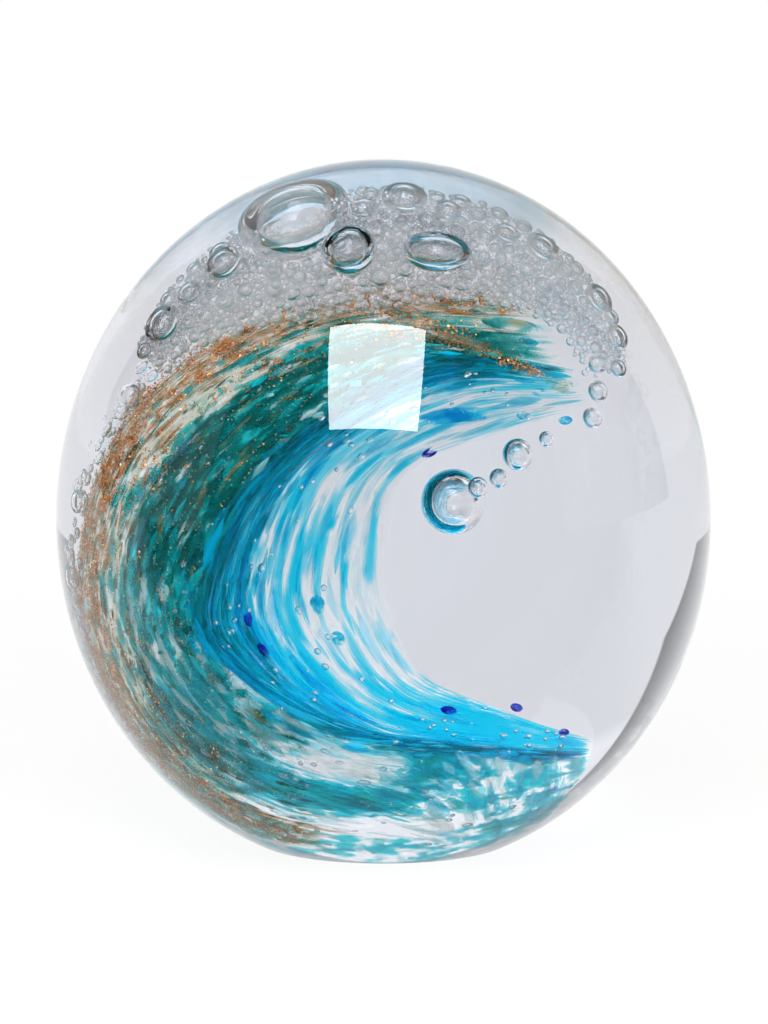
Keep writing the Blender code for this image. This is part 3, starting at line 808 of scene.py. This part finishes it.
# %% Chips on the inner face
zone(
    "pale_streaks", 130, (0.1, 6.9), (0.25, 1.2), (3.0, 9.0), (0.6, 1.9), (-0.8, 0.2), straight,
    lambda s, p: 0.2 + 0.45 * p, (-0.2, 0.15), (0.1, 0.3), blue_chips, "pale_blue_glass",
)
zone(
    "azure_streaks", 240, (0.1, 6.9), (0.8, 1.8), (3.0, 9.0), (0.8, 2.4), (-1.2, 0.3), straight,
    lambda s, p: 0.58 + 0.2 * (p - 1.0), (-0.4, 0.15), (0.2, 0.5), *BLUES,
)
zone(
    "azure_dabs", 400, (0.2, 6.9), (0.9, 2.2), (1.4, 4.5), (0.8, 2.0), (-1.2, 0.2), straight,
    lambda s, p: 0.58 + 0.16 * p, (-0.3, 0.2), (0.15, 0.45), *BLUES,
)
zone(
    "azure_threads", 110, (0.2, 6.9), (0.3, 1.9), (2.0, 7.0), (0.25, 0.7), (-0.4, 0.3), straight,
    nowhere, (0.0, 0.4), (0.15, 0.4), *BLUES,
)
zone(
    "ridge_streaks", 170, (0.0, 7.0), (1.6, 2.2), (2.5, 8.0), (0.8, 2.2), (-1.0, 0.3), straight,
    lambda s, p: 0.60 + 0.25 * towards(s, 2.0, 4.0), (-0.25, 0.2), (0.2, 0.6), *BLUES,
)
zone(
    "teal_over_azure", 330, (3.2, 6.6), (1.3, 2.2), (1.0, 4.5), (0.7, 1.9), (-1.2, 0.2), straight,
    nowhere, (0.2, 0.68), (0.2, 0.5), *TEALS,
)

# %% Chips on the outer side
zone(
    "crest_dabs", 150, (5.4, 6.9), (1.2, 3.2), (1.0, 3.6), (0.7, 1.9), (-0.4, 0.3), straight,
    nowhere, (0.0, 0.36), (0.25, 0.6), *TEALS,
)
zone(
    "teal_chips", 1150, (2.2, 7.0), (2.0, 3.1), (1.5, 5.5), (0.9, 2.2), (-1.8, 0.2), dragged,
    lambda s, p: 0.2 * towards(s, 3.2, 4.6), (0.12, 0.5), (0.2, 0.55), *TEALS,
)
zone(
    "teal_specks", 500, (2.6, 7.0), (2.0, 3.3), (0.6, 2.0), (0.4, 1.0), (-0.8, 0.2), anywhere,
    nowhere, (0.2, 1.0), (0.2, 0.6), *TEALS,
)
# Milky chips over the teal: partly milky streaks of the glass, partly painted glints, white marks that stand
# in for the lamp caught on bumps.
zone(
    "milky_streaks_and_painted_glints", 70, (2.2, 5.6), (2.1, 3.2), (1.5, 5.0), (0.5, 1.2), (-0.6, 0.1), dragged,
    nowhere, (0.0, 0.14), (0.15, 0.4), *TEALS,
)
zone(
    "olive_threads", 380, (1.7, 6.8), (2.8, 3.9), (1.0, 4.5), (0.3, 1.0), (-0.8, 0.3), straight,
    nowhere, (0.1, 1.0), (0.25, 0.6), olive_chips, "olive_glass",
)

# %% Chips on the root
zone(
    "root_streaks", 230, (1.0, 3.1), (2.05, 3.8), (3.0, 12.0), (0.8, 2.6), (-1.6, 0.2), dragged,
    root_tone, (-0.35, 0.2), (0.05, 0.25), *ROOTS,
)
zone(
    "root_threads", 170, (1.2, 3.1), (2.3, 3.3), (2.0, 8.0), (0.3, 0.9), (-0.6, 0.3), dragged,
    root_tone, (-0.10, 0.45), (0.1, 0.4), *ROOTS,
)
zone(
    "root_end_chips", 90, (0.05, 1.1), (2.05, 4.0), (2.5, 7.0), (1.2, 3.4), (-1.4, 0.2), dragged,
    root_tone, (-0.41, 0.14), (0.03, 0.2), *ROOTS,
)
zone(
    "root_end_threads", 50, (0.1, 1.1), (2.1, 3.2), (2.0, 5.0), (0.7, 1.6), (-0.5, 0.3), dragged,
    nowhere, (0.0, 0.5), (0.1, 0.3), *ROOTS,
)

# %% [markdown]
# ## Aventurine flakes
#
# Aventurine is glass full of tiny flat crystals of copper, all at their own angles, so a few of
# them catch the lamp wherever the eye is. Each flake is a flattened ball of only a dozen faces. The
# crushed aventurine went on as grains, so the flakes lie in clumps along the wave's back edge and
# thinly over the teal, with fewer and finer pale gold ones between them.

# %% Flake shape and metals
def turned_frames(normals, lean):
    """Frames whose Z is near each normal, leant at random by about lean radians."""
    z = unit(normals + rng.normal(0, lean, normals.shape))
    x = unit(np.cross(z, rng.normal(0, 1, z.shape)))
    return np.stack([x, np.cross(z, x), z], axis=2)


def metal_flake(name, colour, roughness):
    """Mirror-bright crystal, a little rough from its growth steps."""
    material, tree = new_material(name)
    inputs = {"Base Color": linear(colour), "Metallic": 1.0, "Roughness": roughness}
    metal = add_node(tree, "BsdfPrincipled", inputs)
    add_node(tree, "OutputMaterial", {"Surface": metal})
    return material


copper_metal = metal_flake("aventurine_copper_crystals", "#E6A25C", 0.30)
gold_metal = metal_flake("aventurine_gold_crystals", "#FAEBCB", 0.22)
flake_shape = template(bpy.ops.mesh.primitive_uv_sphere_add, segments=4, ring_count=3, radius=0.5)
FLAKE_FLATNESS = 0.15
FLAKE_LEAN = 0.6
CLUMP_STRETCH = 1.6
FIRST_PLACE, LAST_PLACE = 0.05, 6.95


# %% Clumps of flakes
def clumps(count, stations, places, per_clump, radius):
    """Stations and places of flakes, in clumps of about the radius in millimetres."""
    s = rng.uniform(*stations, count)
    p = rng.triangular(places[0], places[1], places[2], count)
    run, turn = surface_steps(s, p)
    each = rng.poisson(per_clump, count)
    size = rng.uniform(*radius, count)
    s, p, run, turn, size = (np.repeat(v, each) for v in (s, p, run, turn, size))
    total = len(s)
    s = np.clip(s + rng.normal(0, 1, total) * size * CLUMP_STRETCH / run, FIRST_PLACE, LAST_PLACE)
    return s, p + rng.normal(0, 1, total) * size / turn


def scatter_flakes(name, s, p, widths, heights, material, slot):
    """Flakes at stations and places, of widths and heights over the wave in millimetres."""
    normals = wave_normals(s, p)
    centres = wave_points(s, p) + normals * rng.uniform(*heights, len(s))[:, None]
    sizes = rng.uniform(*widths, len(s))
    frames = turned_frames(normals, FLAKE_LEAN) * sizes[:, None, None]
    frames[:, :, 2] *= FLAKE_FLATNESS
    obj = mesh_of_copies(name, flake_shape, placed_copies(flake_shape, frames, centres))
    obj.data.shade_flat()
    return finish_piece(obj, name, material, slot)


COPPER, GOLD = (copper_metal, "copper_aventurine"), (gold_metal, "gold_aventurine")
STRAYS = 1200
edge_flakes = clumps(230, (1.8, 6.8), (3.45, 4.0, 4.3), 46, (0.2, 0.9))
band_flakes = clumps(110, (2.2, 6.6), (2.6, 3.4, 3.9), 18, (0.2, 0.6))
over_teal = (rng.uniform(1.8, 6.9, STRAYS), rng.uniform(2.1, 3.3, STRAYS))
scatter_flakes("copper_edge_flakes", *edge_flakes, (0.14, 0.42), (-0.1, 0.7), *COPPER)
scatter_flakes("copper_band_flakes", *band_flakes, (0.14, 0.40), (-0.1, 0.6), *COPPER)
scatter_flakes("copper_stray_flakes", *over_teal, (0.10, 0.30), (0.0, 0.6), *COPPER)


# %% Trails of flakes
def trail(points, count, spread):
    """Stations and places along a short row of points on the wave."""
    t = rng.uniform(0, len(points) - 1, count)
    rows = np.arange(len(points))
    s, p = (np.interp(t, rows, values) for values in zip(*points))
    s = s + rng.normal(0, spread, count) * TRAIL_SPREAD[0]
    return np.clip(s, FIRST_PLACE, LAST_PLACE), p + rng.normal(0, spread, count) * TRAIL_SPREAD[1]


TRAIL_SPREAD = (0.08, 0.12)


for name, points in (
    ("copper_high_tail_flakes", [(6.05, 3.95), (6.3, 3.6), (6.42, 3.1), (6.5, 2.8)]),
    ("copper_low_tail_flakes", [(6.1, 2.9), (6.35, 2.5), (6.6, 2.05), (6.72, 1.8)]),
):
    scatter_flakes(name, *trail(points, 420, 0.8), (0.16, 0.42), (0.0, 0.6), *COPPER)
gold_trail = trail([(6.75, 1.9), (6.88, 1.45), (6.93, 1.0)], 160, 0.5)
scatter_flakes("gold_tail_flakes", *gold_trail, (0.12, 0.3), (0.0, 0.5), *GOLD)
gold_flakes = clumps(150, (1.8, 6.9), (2.4, 3.9, 4.2), 9, (0.3, 1.2))
scatter_flakes("gold_flakes", *gold_flakes, (0.10, 0.28), (0.0, 0.6), *GOLD)

# %% [markdown]
# ## Trapped air
#
# A bubble is air in glass, so its surface bends light the other way: its index is that of air over
# that of glass, with the faces outwards. Beyond 42 degrees all light is turned back, which gives
# each bubble its bright and dark rings. Perfectly smooth glass never meets a lamp's rays, so a small
# share of a very slightly rough mirror gives each bubble its sparkle. The large bubbles are single
# balls in the CAD's places.


# %% Air material and large bubbles
BUBBLE_GLINT, SEED_GLINT, GLINT_ROUGHNESS = 0.08, 0.025, 0.1


def trapped_air(name, glint_share):
    """Air in glass. glint_share is the share of the mirror that shows the lamp."""
    material, tree = new_material(name)
    bubble = add_node(tree, "BsdfGlass", {"Color": WHITE, "Roughness": 0.0, "IOR": 1 / GLASS_IOR})
    glint = add_node(tree, "BsdfGlossy", {"Color": WHITE, "Roughness": GLINT_ROUGHNESS})
    surface = add_node(tree, "MixShader", (glint_share, bubble, glint))
    let_lamps_through(tree, surface, WHITE)
    return material


air = trapped_air("air_in_bubbles", BUBBLE_GLINT)
seed_air = trapped_air("air_in_seeds", SEED_GLINT)
large_bubbles = []
FINE_BALL_ABOVE = 5 * MM


def make_bubble(node):
    """A ball of air as large as the CAD's bubble."""
    low_corner, high_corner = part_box(node)
    centre, size = (low_corner + high_corner) / 2, high_corner - low_corner
    fine = 5 if size.x > FINE_BALL_ABOVE else 4
    deselect()
    bpy.ops.mesh.primitive_ico_sphere_add(subdivisions=fine, radius=0.5, location=centre, scale=size)
    bpy.ops.object.transform_apply(location=True, rotation=True, scale=True)
    obj = bpy.context.object
    bpy.ops.object.shade_smooth()
    large_bubbles.append((np.array(centre) / MM, max(size) / 2 / MM))
    return finish_piece(obj, node.replace("_bubble_", "_air_"), air, "trapped_air", node)


for node in sorted(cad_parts):
    if "_bubble_" in node:
        make_bubble(node)
print("large bubbles:", len(large_bubbles))

# %% [markdown]
# ## Froth
#
# The froth is some two thousand fine bubbles packed over the crest, with larger ones standing out of
# its top. They are balls of air, placed one by one at random where they touch nothing, the large ones
# first. The smaller ones keep clear of the front of the larger ones, because a bubble seen through
# others is only a grey blur. The froth thins out into single bubbles where it hangs down past the
# crest's tip.

# %% Froth's path
FROTH_PATH = [
    (-25.5, -7.0, 63.9), (-19.5, -5.5, 69.9), (-8.0, -4.5, 75.0),
    (4.0, -4.5, 76.4), (14.0, -4.5, 74.6), (21.3, -5.5, 69.6), (23.8, -6.5, 62.2),
]
FROTH_RADII = [3.4, 6.2, 8.8, 8.4, 7.0, 5.0, 3.3]
FROTH_DEPTH = 0.55


def froth_frames(places):
    """Middle of the froth at places on its path, its radius, and two directions across it."""
    middle = along(FROTH_PATH, places)
    ahead = along(FROTH_PATH, places + 0.1) - along(FROTH_PATH, places - 0.1)
    side = np.broadcast_to((0.0, 1.0, 0.0), ahead.shape)
    up = unit(np.cross(ahead, side))
    radius = along([(r, 0, 0) for r in FROTH_RADII], places)[:, 0]
    return middle, radius, side, up


def wave_tree():
    """A tree of points on the wave, to find how far a place is from it."""
    s, p = np.meshgrid(np.linspace(0, LAST_STATION, 71), np.linspace(0, CONTROLS, 61)[:-1])
    points = wave_points(s.ravel(), p.ravel())
    tree = KDTree(len(points))
    for index, point in enumerate(points):
        tree.insert(point, index)
    tree.balance()
    return tree


# %% Packing
class Packing:
    """Balls placed one by one where they touch no other, found through a grid of cells."""

    def __init__(self, cell):
        self.cell = cell
        self.cells = {}
        self.balls = []

    def cells_near(self, centre, reach):
        spans = [range(int((c - reach) // self.cell), int((c + reach) // self.cell) + 1) for c in centre]
        return [(i, j, k) for i in spans[0] for j in spans[1] for k in spans[2]]

    def add(self, centre, radius, gap=0.03):
        near = self.cells_near(centre, radius + gap)
        for cell in near:
            for other, own in self.cells.get(cell, ()):
                if sum((a - b) ** 2 for a, b in zip(centre, other)) < (radius + own + gap) ** 2:
                    return False
        for cell in near:
            self.cells.setdefault(cell, []).append((centre, radius))
        self.balls.append((centre, radius))
        return True


FRONT_SHARE = 0.9


def clear_of_front(centres, large):
    """True where a centre does not lie in front of a large bubble, on the wave's near side, -Y."""
    clear = np.ones(len(centres), bool)
    for middle, radius in large:
        offset = centres - np.array(middle)
        clear &= (np.hypot(offset[:, 0], offset[:, 2]) > radius * FRONT_SHARE) | (offset[:, 1] > 0)
    return clear


FEWEST = 0.08
SMALL_BALLS_FIRST = 0.7
ROOM_TO_WAVE = 0.2


def pack_froth(sizes, tries, reach, turn=(0.0, math.tau), behind=()):
    """Tries random places in the froth. reach and turn are the span of its section that is filled,
    and nothing is placed in front of the balls in behind."""
    places = rng.uniform(0, len(FROTH_PATH) - 1, tries)
    thinning = towards(places, 6.6, 4.4)
    places = places[rng.uniform(0, 1, tries) < FEWEST + (1 - FEWEST) * thinning]
    tries = len(places)
    middle, tube, side, up = froth_frames(places)
    angle = rng.uniform(*turn, tries)
    radii = sizes[0] + (sizes[1] - sizes[0]) * rng.power(SMALL_BALLS_FIRST, tries)
    out = np.sqrt(rng.uniform(*reach, tries)) * np.maximum(tube - radii, 0.1)
    sideways, upwards = np.cos(angle) * out * FROTH_DEPTH, np.sin(angle) * out
    centres = middle + side * sideways[:, None] + up * upwards[:, None]
    clear = clear_of_front(centres, behind)
    start = len(packing.balls)
    for centre, radius in zip(centres[clear].tolist(), radii[clear].tolist()):
        if surface_tree.find(centre)[2] > radius + ROOM_TO_WAVE:
            packing.add(tuple(centre), radius)
    return packing.balls[start:]


# %% Pack the froth
surface_tree = wave_tree()
CELL = 2.0
packing = Packing(CELL)
for centre, radius in large_bubbles:
    packing.add(tuple(centre.tolist()), radius)
RIM_SIDE = (math.radians(60), math.radians(135))
FRONT_SIDE = (math.radians(120), math.radians(225))
froth_mid = pack_froth((1.0, 1.9), 900, (0.85, 1.0), RIM_SIDE)
froth_mid += pack_froth((0.6, 1.3), 900, (0.1, 1.0), FRONT_SIDE, list(large_bubbles))
in_view = large_bubbles + froth_mid
froth_small = pack_froth((0.4, 0.75), 4500, (0.05, 1.0), behind=in_view)
froth_fine = pack_froth((0.24, 0.38), 7000, (0.0, 1.0), behind=in_view)
print("froth bubbles:", len(froth_mid), "mid,", len(froth_small), "small,", len(froth_fine), "fine")


def icosphere(subdivisions):
    return template(bpy.ops.mesh.primitive_ico_sphere_add, subdivisions=subdivisions, radius=1.0)


def ball_mesh(name, balls, subdivisions, *nodes):
    """One object of all the balls, each a centre and a radius."""
    shape = icosphere(subdivisions)
    centres = np.array([centre for centre, radius in balls])
    frames = np.eye(3)[None] * np.array([radius for centre, radius in balls])[:, None, None]
    obj = mesh_of_copies(name, shape, placed_copies(shape, frames, centres))
    return finish_piece(obj, name, air, "bubble_froth", *nodes)


ball_mesh("froth_mid_bubbles", froth_mid, 3, "crest_froth")
ball_mesh("froth_small_bubbles", froth_small, 2)
ball_mesh("froth_fine_bubbles", froth_fine, 2)

# %% [markdown]
# ## Seeds
#
# Glassworkers call single small bubbles seeds. They rise from the chips while the glass is hot, so
# they lie over the colours, drawn out along the wave, and a string of them follows its back edge.

# %% Seeds
def seeds(name, count, stations, places, radii, heights, stretches, draw_place=rng.uniform):
    """Small bubbles, each drawn out along the wave by its stretch. Every pair of numbers is a span, or
    for places what draw_place takes."""
    s = rng.uniform(*stations, count)
    p = draw_place(*places, count)
    radius, height, stretch = (rng.uniform(*span, count)[:, None] for span in (radii, heights, stretches))
    shape = icosphere(2)
    normals = wave_normals(s, p)
    ahead = unit(surface_run(s, p, step=0.05)[0])
    frames = np.stack([ahead * stretch, np.cross(normals, ahead), normals], axis=2) * radius[:, :, None]
    placed = placed_copies(shape, frames, wave_points(s, p) + normals * height)
    return finish_piece(mesh_of_copies(name, shape, placed), name, seed_air, "trapped_air")


seeds("seeds", 150, (0.3, 6.6), (0.6, 3.2), (0.13, 0.36), (0.5, 3.0), (1.0, 1.5))
seeds("edge_seeds", 120, (2.6, 5.2), (4.15, 0.15), (0.2, 0.75), (0.6, 2.0), (1.0, 1.7), rng.normal)
seeds("low_seeds", 40, (0.8, 2.8), (2.3, 4.2), (0.16, 0.4), (0.4, 1.2), (1.2, 2.6))

# %% [markdown]
# ## Chips, drops and tongues
#
# A few whole chips were set on by hand and stay solid: cobalt, bright blue and turquoise. Each is a
# copy of its CAD node, merged and rounded by subdivision, as fire rounds a chip.

# %% Chips and drops
def solid_chip_glass(name, light, dark, depth):
    """Dense coloured glass with a darker cloud in it."""
    return washed_glass(name, (light, 0.35, depth), [(dark, 0.45, 1.4 * depth, 1.2, 0.8, 0.50, 0.0, 2.0)])


cobalt = solid_chip_glass("cobalt_glass_chip", "#3A48C8", "#2426A0", 1.2)
bright_blue = solid_chip_glass("bright_blue_glass_drop", "#10BCF0", "#049CE2", 0.6)
turquoise = solid_chip_glass("turquoise_glass_drop", "#10B4D8", "#0A94BC", 0.7)
WHOLE_CHIPS = {
    "cobalt_chip": (cobalt, "cobalt_glass"), "blue_drop": (bright_blue, "blue_glass"),
    "turquoise_drop": (turquoise, "turquoise_glass"),
}


# %% Rounded copies
RIM_WAVER, RIM_FADE, SOLID_TO = 0.08, 0.1, 0.4


def rounded_copy(node, name, material, slot):
    """A smooth body in a CAD node's place, which fades to clear glass at its rim."""
    deselect()
    obj = bpy.data.objects.new(name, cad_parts[node].data.copy())
    link(obj)
    bpy.context.view_layer.objects.active = obj
    obj.select_set(True)
    edit_mode()
    bpy.ops.mesh.select_all(action="SELECT")
    bpy.ops.mesh.remove_doubles(threshold=1e-6)
    object_mode()
    rounding = obj.modifiers.new("rounding", "SUBSURF")
    rounding.levels = rounding.render_levels = 2
    bpy.ops.object.modifier_apply(modifier=rounding.name)
    bpy.ops.object.shade_smooth()
    co = vertex_places(obj)
    set_uv(obj, obj.data.uv_layers.new(), co[:, [0, 2]] / MM)
    offset = (co - co.mean(0)) / np.maximum(np.ptp(co, axis=0), 1e-6)
    edge = np.linalg.norm(offset, axis=1) * 2
    edge = edge + rng.normal(0, RIM_WAVER, len(edge))
    set_attribute(obj, "fade", RIM_FADE + (1 - RIM_FADE) * towards(edge, 1.0, SOLID_TO))
    set_attribute(obj, "deep", np.zeros(len(obj.data.vertices)))
    return finish_piece(obj, name, material, slot, node)


for node in sorted(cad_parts):
    kind = node.rsplit("_", 1)[0]
    if kind in WHOLE_CHIPS:
        rounded_copy(node, node + "_glass", *WHOLE_CHIPS[kind])

rounded_copy("teal_tongue", "teal_tongue_glass", teal_glass, "teal_glass")
rounded_copy("blue_tongue", "blue_tongue_glass", bright_blue, "blue_glass")
for node in ("copper_tail_high", "copper_tail_low"):
    rounded_copy(node, node + "_glass", copper_glass, "copper_aventurine")
rounded_copy("gold_tail", "gold_tail_glass", olive_glass, "gold_aventurine")

# %% [markdown]
# ## Studio
#
# The globe stands on white paper in front of a bright backdrop, with dark cards at both sides, which
# draw the dark crescents inside its rim. A softbox stands in front, above and a little to the left.
# Its light is an area lamp, and its picture in the glass is a bright rectangle in the world, so no
# ray meets both. The paper's white is partly its own light, so that the shadow stays faint. What the
# globe's outside mirrors from the front is dark, as a studio is behind the camera, while a ray that
# has been through the glass finds a lighter room there.

# %% Floor
FLOOR_SIZE = 4.0
FLOOR_DROP = 0.2 * MM
OWN_LIGHT_FROM, OWN_LIGHT_BY, LEAST_OWN_LIGHT = 0.08, 0.25, 0.88
IN_GLASS_FROM, IN_GLASS_BY = 0.045, 0.17
FLOOR_IN_FRONT = 0.05
FRONT_FROM, FRONT_BY = 0.02, -0.06

deselect()
bpy.ops.mesh.primitive_plane_add(size=FLOOR_SIZE, location=(0, 0, -FLOOR_DROP))
bpy.ops.object.transform_apply(location=True)
floor = bpy.context.object
floor.name = "floor"
material, tree = new_material("white_paper_sweep")
rays = add_node(tree, "LightPath").outputs
where = add_node(tree, "TexCoord").outputs["Object"]
distance = add_node(tree, "VectorMath", {0: where}, operation="LENGTH").outputs["Value"]
far = add_node(tree, "MapRange", (distance, OWN_LIGHT_FROM, OWN_LIGHT_BY, LEAST_OWN_LIGHT, 1.0))
by_camera = add_node(tree, "Math", (rays["Is Camera Ray"], far), operation="MULTIPLY")
far = add_node(tree, "MapRange", (distance, IN_GLASS_FROM, IN_GLASS_BY), interpolation_type="SMOOTHSTEP")
by_glass = add_node(tree, "Math", (rays["Is Transmission Ray"], far), operation="MULTIPLY")
outside = add_node(tree, "Math", (rays["Transmission Depth"], 0.5), operation="LESS_THAN")
mirrored = add_node(tree, "Math", (rays["Is Glossy Ray"], outside), operation="MULTIPLY")
share = add_node(tree, "Math", (by_camera, by_glass), operation="MAXIMUM")
share = add_node(tree, "Math", (share, mirrored), operation="MAXIMUM")
forward = add_node(tree, "SeparateXYZ", {0: where}).outputs["Y"]
dark = add_node(tree, "MapRange", (forward, FRONT_FROM, FRONT_BY), interpolation_type="SMOOTHSTEP")
dark = add_node(tree, "Math", (mirrored, dark), operation="MULTIPLY")
level = add_node(tree, "Mix", {0: dark, 2: 1.0, 3: FLOOR_IN_FRONT})
paper = add_node(tree, "BsdfDiffuse", {"Color": linear("#F2EFEB")})
bright = add_node(tree, "Emission", {"Color": WHITE, "Strength": level})
mixed = add_node(tree, "MixShader", (share, paper, bright))
add_node(tree, "OutputMaterial", {"Surface": mixed})
floor.data.materials.append(material)


# %% Softbox
def direction(azimuth, elevation):
    """Unit vector. Azimuth 0 is towards the camera's side, -Y, and grows to the right."""
    a, e = math.radians(azimuth), math.radians(elevation)
    return Vector((math.sin(a) * math.cos(e), -math.cos(a) * math.cos(e), math.sin(e)))


SOFTBOX_TOWARDS = direction(-4.0, 48.5)
SOFTBOX_HALF_ANGLES = (math.radians(15.5), math.radians(17.0))
SOFTBOX_DISTANCE = 0.9
SOFTBOX_RADIANCE = 16.5
SOFTBOX_INSIDE = 1.6
LAMP_WATTS = 10.0

lamp_data = bpy.data.lights.new("softbox", "AREA")
lamp_data.shape = "RECTANGLE"
lamp_data.size = 2 * SOFTBOX_DISTANCE * math.tan(SOFTBOX_HALF_ANGLES[0])
lamp_data.size_y = 2 * SOFTBOX_DISTANCE * math.tan(SOFTBOX_HALF_ANGLES[1])
lamp_data.energy = LAMP_WATTS
lamp_data.cycles.use_multiple_importance_sampling = False
lamp = bpy.data.objects.new("softbox", lamp_data)
link(lamp)
lamp.location = SOFTBOX_TOWARDS * SOFTBOX_DISTANCE + Vector((0, 0, EQUATOR))
lamp.rotation_euler = SOFTBOX_TOWARDS.to_track_quat("Z", "Y").to_euler()
lamp.visible_camera = lamp.visible_transmission = False

# %% [markdown]
# The world is the studio as the glass sees it, and its level depends on the direction: a bright
# backdrop behind the globe, brighter higher up, a dark ceiling, and a card at each side that is
# darkest at its edge. The edges lean, so each has one azimuth low down and another higher up. To the
# camera itself the world is plain white.

# %% Levels of the studio by direction
BEHIND_CAMERA, BACKDROP, HIGH_BACKDROP, CEILING = 0.06, 1.0, 1.3, 0.08
BACKDROP_RISE, CEILING_RISE = (0.42, 0.5), (0.85, 0.91)
ROOM_THROUGH_GLASS = 0.65
DARK_CARD = (0.10, 0.40)
CARD_WIDTH = math.radians(25.0)
LEFT_CARD = (math.radians(69.0), math.radians(62.0))
RIGHT_CARD = (math.radians(-70.0), math.radians(-52.5))
LEFT_CARD_HEIGHTS = (math.sin(math.radians(-7.0)), math.sin(math.radians(-2.0)))
RIGHT_CARD_HEIGHTS = (math.sin(math.radians(-7.0)), math.sin(math.radians(12.0)))
CARDS_END = math.radians(115.0)
EDGE = math.radians(1.5)
AMBIENT = 0.3
AMBIENT_IN_GLASS = 3.3

# %% World
world = bpy.data.worlds.new("studio")
bpy.context.scene.world = world
world.use_nodes = True
tree = world.node_tree
tree.nodes.clear()
rays = add_node(tree, "LightPath").outputs
look = add_node(tree, "TexCoord").outputs["Generated"]
x, y, z = add_node(tree, "SeparateXYZ", {0: look}).outputs
azimuth = add_node(tree, "Math", (x, y), operation="ARCTAN2")
right_edge = add_node(tree, "MapRange", (z, *RIGHT_CARD_HEIGHTS, *RIGHT_CARD))
left_edge = add_node(tree, "MapRange", (z, *LEFT_CARD_HEIGHTS, *LEFT_CARD))
past_right = add_node(tree, "Math", (right_edge, azimuth), operation="SUBTRACT")
past_left = add_node(tree, "Math", (azimuth, left_edge), operation="SUBTRACT")
past_edge = add_node(tree, "Math", (past_right, past_left), operation="MAXIMUM")
on_card = add_node(tree, "MapRange", (past_edge, -EDGE, 0.0))
card = add_node(tree, "MapRange", (past_edge, 0.0, CARD_WIDTH, *DARK_CARD))
sideways = add_node(tree, "Math", {0: azimuth}, operation="ABSOLUTE")
behind = add_node(tree, "Math", (sideways, CARDS_END), operation="GREATER_THAN")
inside = add_node(tree, "Math", (rays["Transmission Depth"], 0.5), operation="GREATER_THAN")
room = add_node(tree, "Mix", {0: inside, 2: BEHIND_CAMERA, 3: ROOM_THROUGH_GLASS})
card = add_node(tree, "Mix", {0: behind, 2: card, 3: room})
backdrop = add_node(tree, "MapRange", (z, *BACKDROP_RISE, BACKDROP, HIGH_BACKDROP))
level = add_node(tree, "Mix", {0: on_card, 2: backdrop, 3: card})
overhead = add_node(tree, "MapRange", (z, *CEILING_RISE))
level = add_node(tree, "Mix", {0: overhead, 2: level, 3: CEILING})

# %% [markdown]
# The softbox is a rectangle, so its picture is where the view lies within half its width and half
# its height of its middle. Light that coloured glass scatters meets a plain, even room instead,
# which is brighter for the rays inside the glass, since glass gathers light by its index squared.

# %% Softbox's picture and even light
side_axis = Vector((0, 0, 1)).cross(SOFTBOX_TOWARDS).normalized()
top_axis = SOFTBOX_TOWARDS.cross(side_axis)
ahead, across, upward = (
    add_node(tree, "VectorMath", (look, axis), operation="DOT_PRODUCT").outputs["Value"]
    for axis in (SOFTBOX_TOWARDS, side_axis, top_axis)
)
softbox = add_node(tree, "Math", (ahead, 0.0), operation="GREATER_THAN")
for part, half in ((across, SOFTBOX_HALF_ANGLES[0]), (upward, SOFTBOX_HALF_ANGLES[1])):
    slope = add_node(tree, "Math", (part, ahead), operation="DIVIDE")
    slope = add_node(tree, "Math", {0: slope}, operation="ABSOLUTE")
    within = add_node(tree, "Math", (slope, math.tan(half)), operation="LESS_THAN")
    softbox = add_node(tree, "Math", (softbox, within), operation="MULTIPLY")
picture = add_node(tree, "Mix", {0: inside, 2: SOFTBOX_RADIANCE, 3: SOFTBOX_INSIDE})
level = add_node(tree, "Mix", {0: softbox, 2: level, 3: picture})
scattered = add_node(tree, "Math", (rays["Diffuse Depth"], 0.5), operation="GREATER_THAN")
even = add_node(tree, "Mix", {0: rays["Is Transmission Ray"], 2: AMBIENT, 3: AMBIENT_IN_GLASS})
level = add_node(tree, "Mix", {0: scattered, 2: level, 3: even})
level = add_node(tree, "Mix", {0: rays["Is Camera Ray"], 2: level, 3: 1.0})
background = add_node(tree, "Background", {"Color": WHITE, "Strength": level})
add_node(tree, "OutputWorld", {"Surface": background})
world.cycles.sampling_method = "NONE"
print("the world has", len(tree.nodes), "nodes")

# %% [markdown]
# ## Camera and light paths
#
# The camera looks a little down on the globe from 0.7 m away. In an upright frame the sensor's 36 mm
# run along the height, so the lens follows from the height of the frame at the globe. Light that is
# still trapped in the glass after ten bounces ends there, which draws the dark lines at the bubbles'
# rims. Going straight through a wall of coloured glass is counted apart, since chips lie many deep.

# %% Camera
CAMERA_DISTANCE = 0.7
CAMERA_ELEVATION = math.radians(8.0)
FRAME_HEIGHT = 0.1407
SENSOR = 36.0
AIM = Vector((0.00007, 0.0, 0.0455))

camera_data = bpy.data.cameras.new("camera")
camera_data.sensor_width = SENSOR
camera_data.lens = SENSOR * CAMERA_DISTANCE / FRAME_HEIGHT
camera = bpy.data.objects.new("camera", camera_data)
link(camera)
back = Vector((0, -math.cos(CAMERA_ELEVATION), math.sin(CAMERA_ELEVATION)))
camera.location = AIM + back * CAMERA_DISTANCE
camera.rotation_euler = back.to_track_quat("Z", "Y").to_euler()
bpy.context.scene.camera = camera

LIGHT_BOUNCES = 10
SCATTER_BOUNCES = 4
CLEAR_WALLS = 64
scene = bpy.context.scene
scene.view_settings.view_transform = "Standard"
scene.cycles.max_bounces = LIGHT_BOUNCES
scene.cycles.transmission_bounces = LIGHT_BOUNCES
scene.cycles.glossy_bounces = LIGHT_BOUNCES
scene.cycles.diffuse_bounces = SCATTER_BOUNCES
scene.cycles.transparent_max_bounces = CLEAR_WALLS
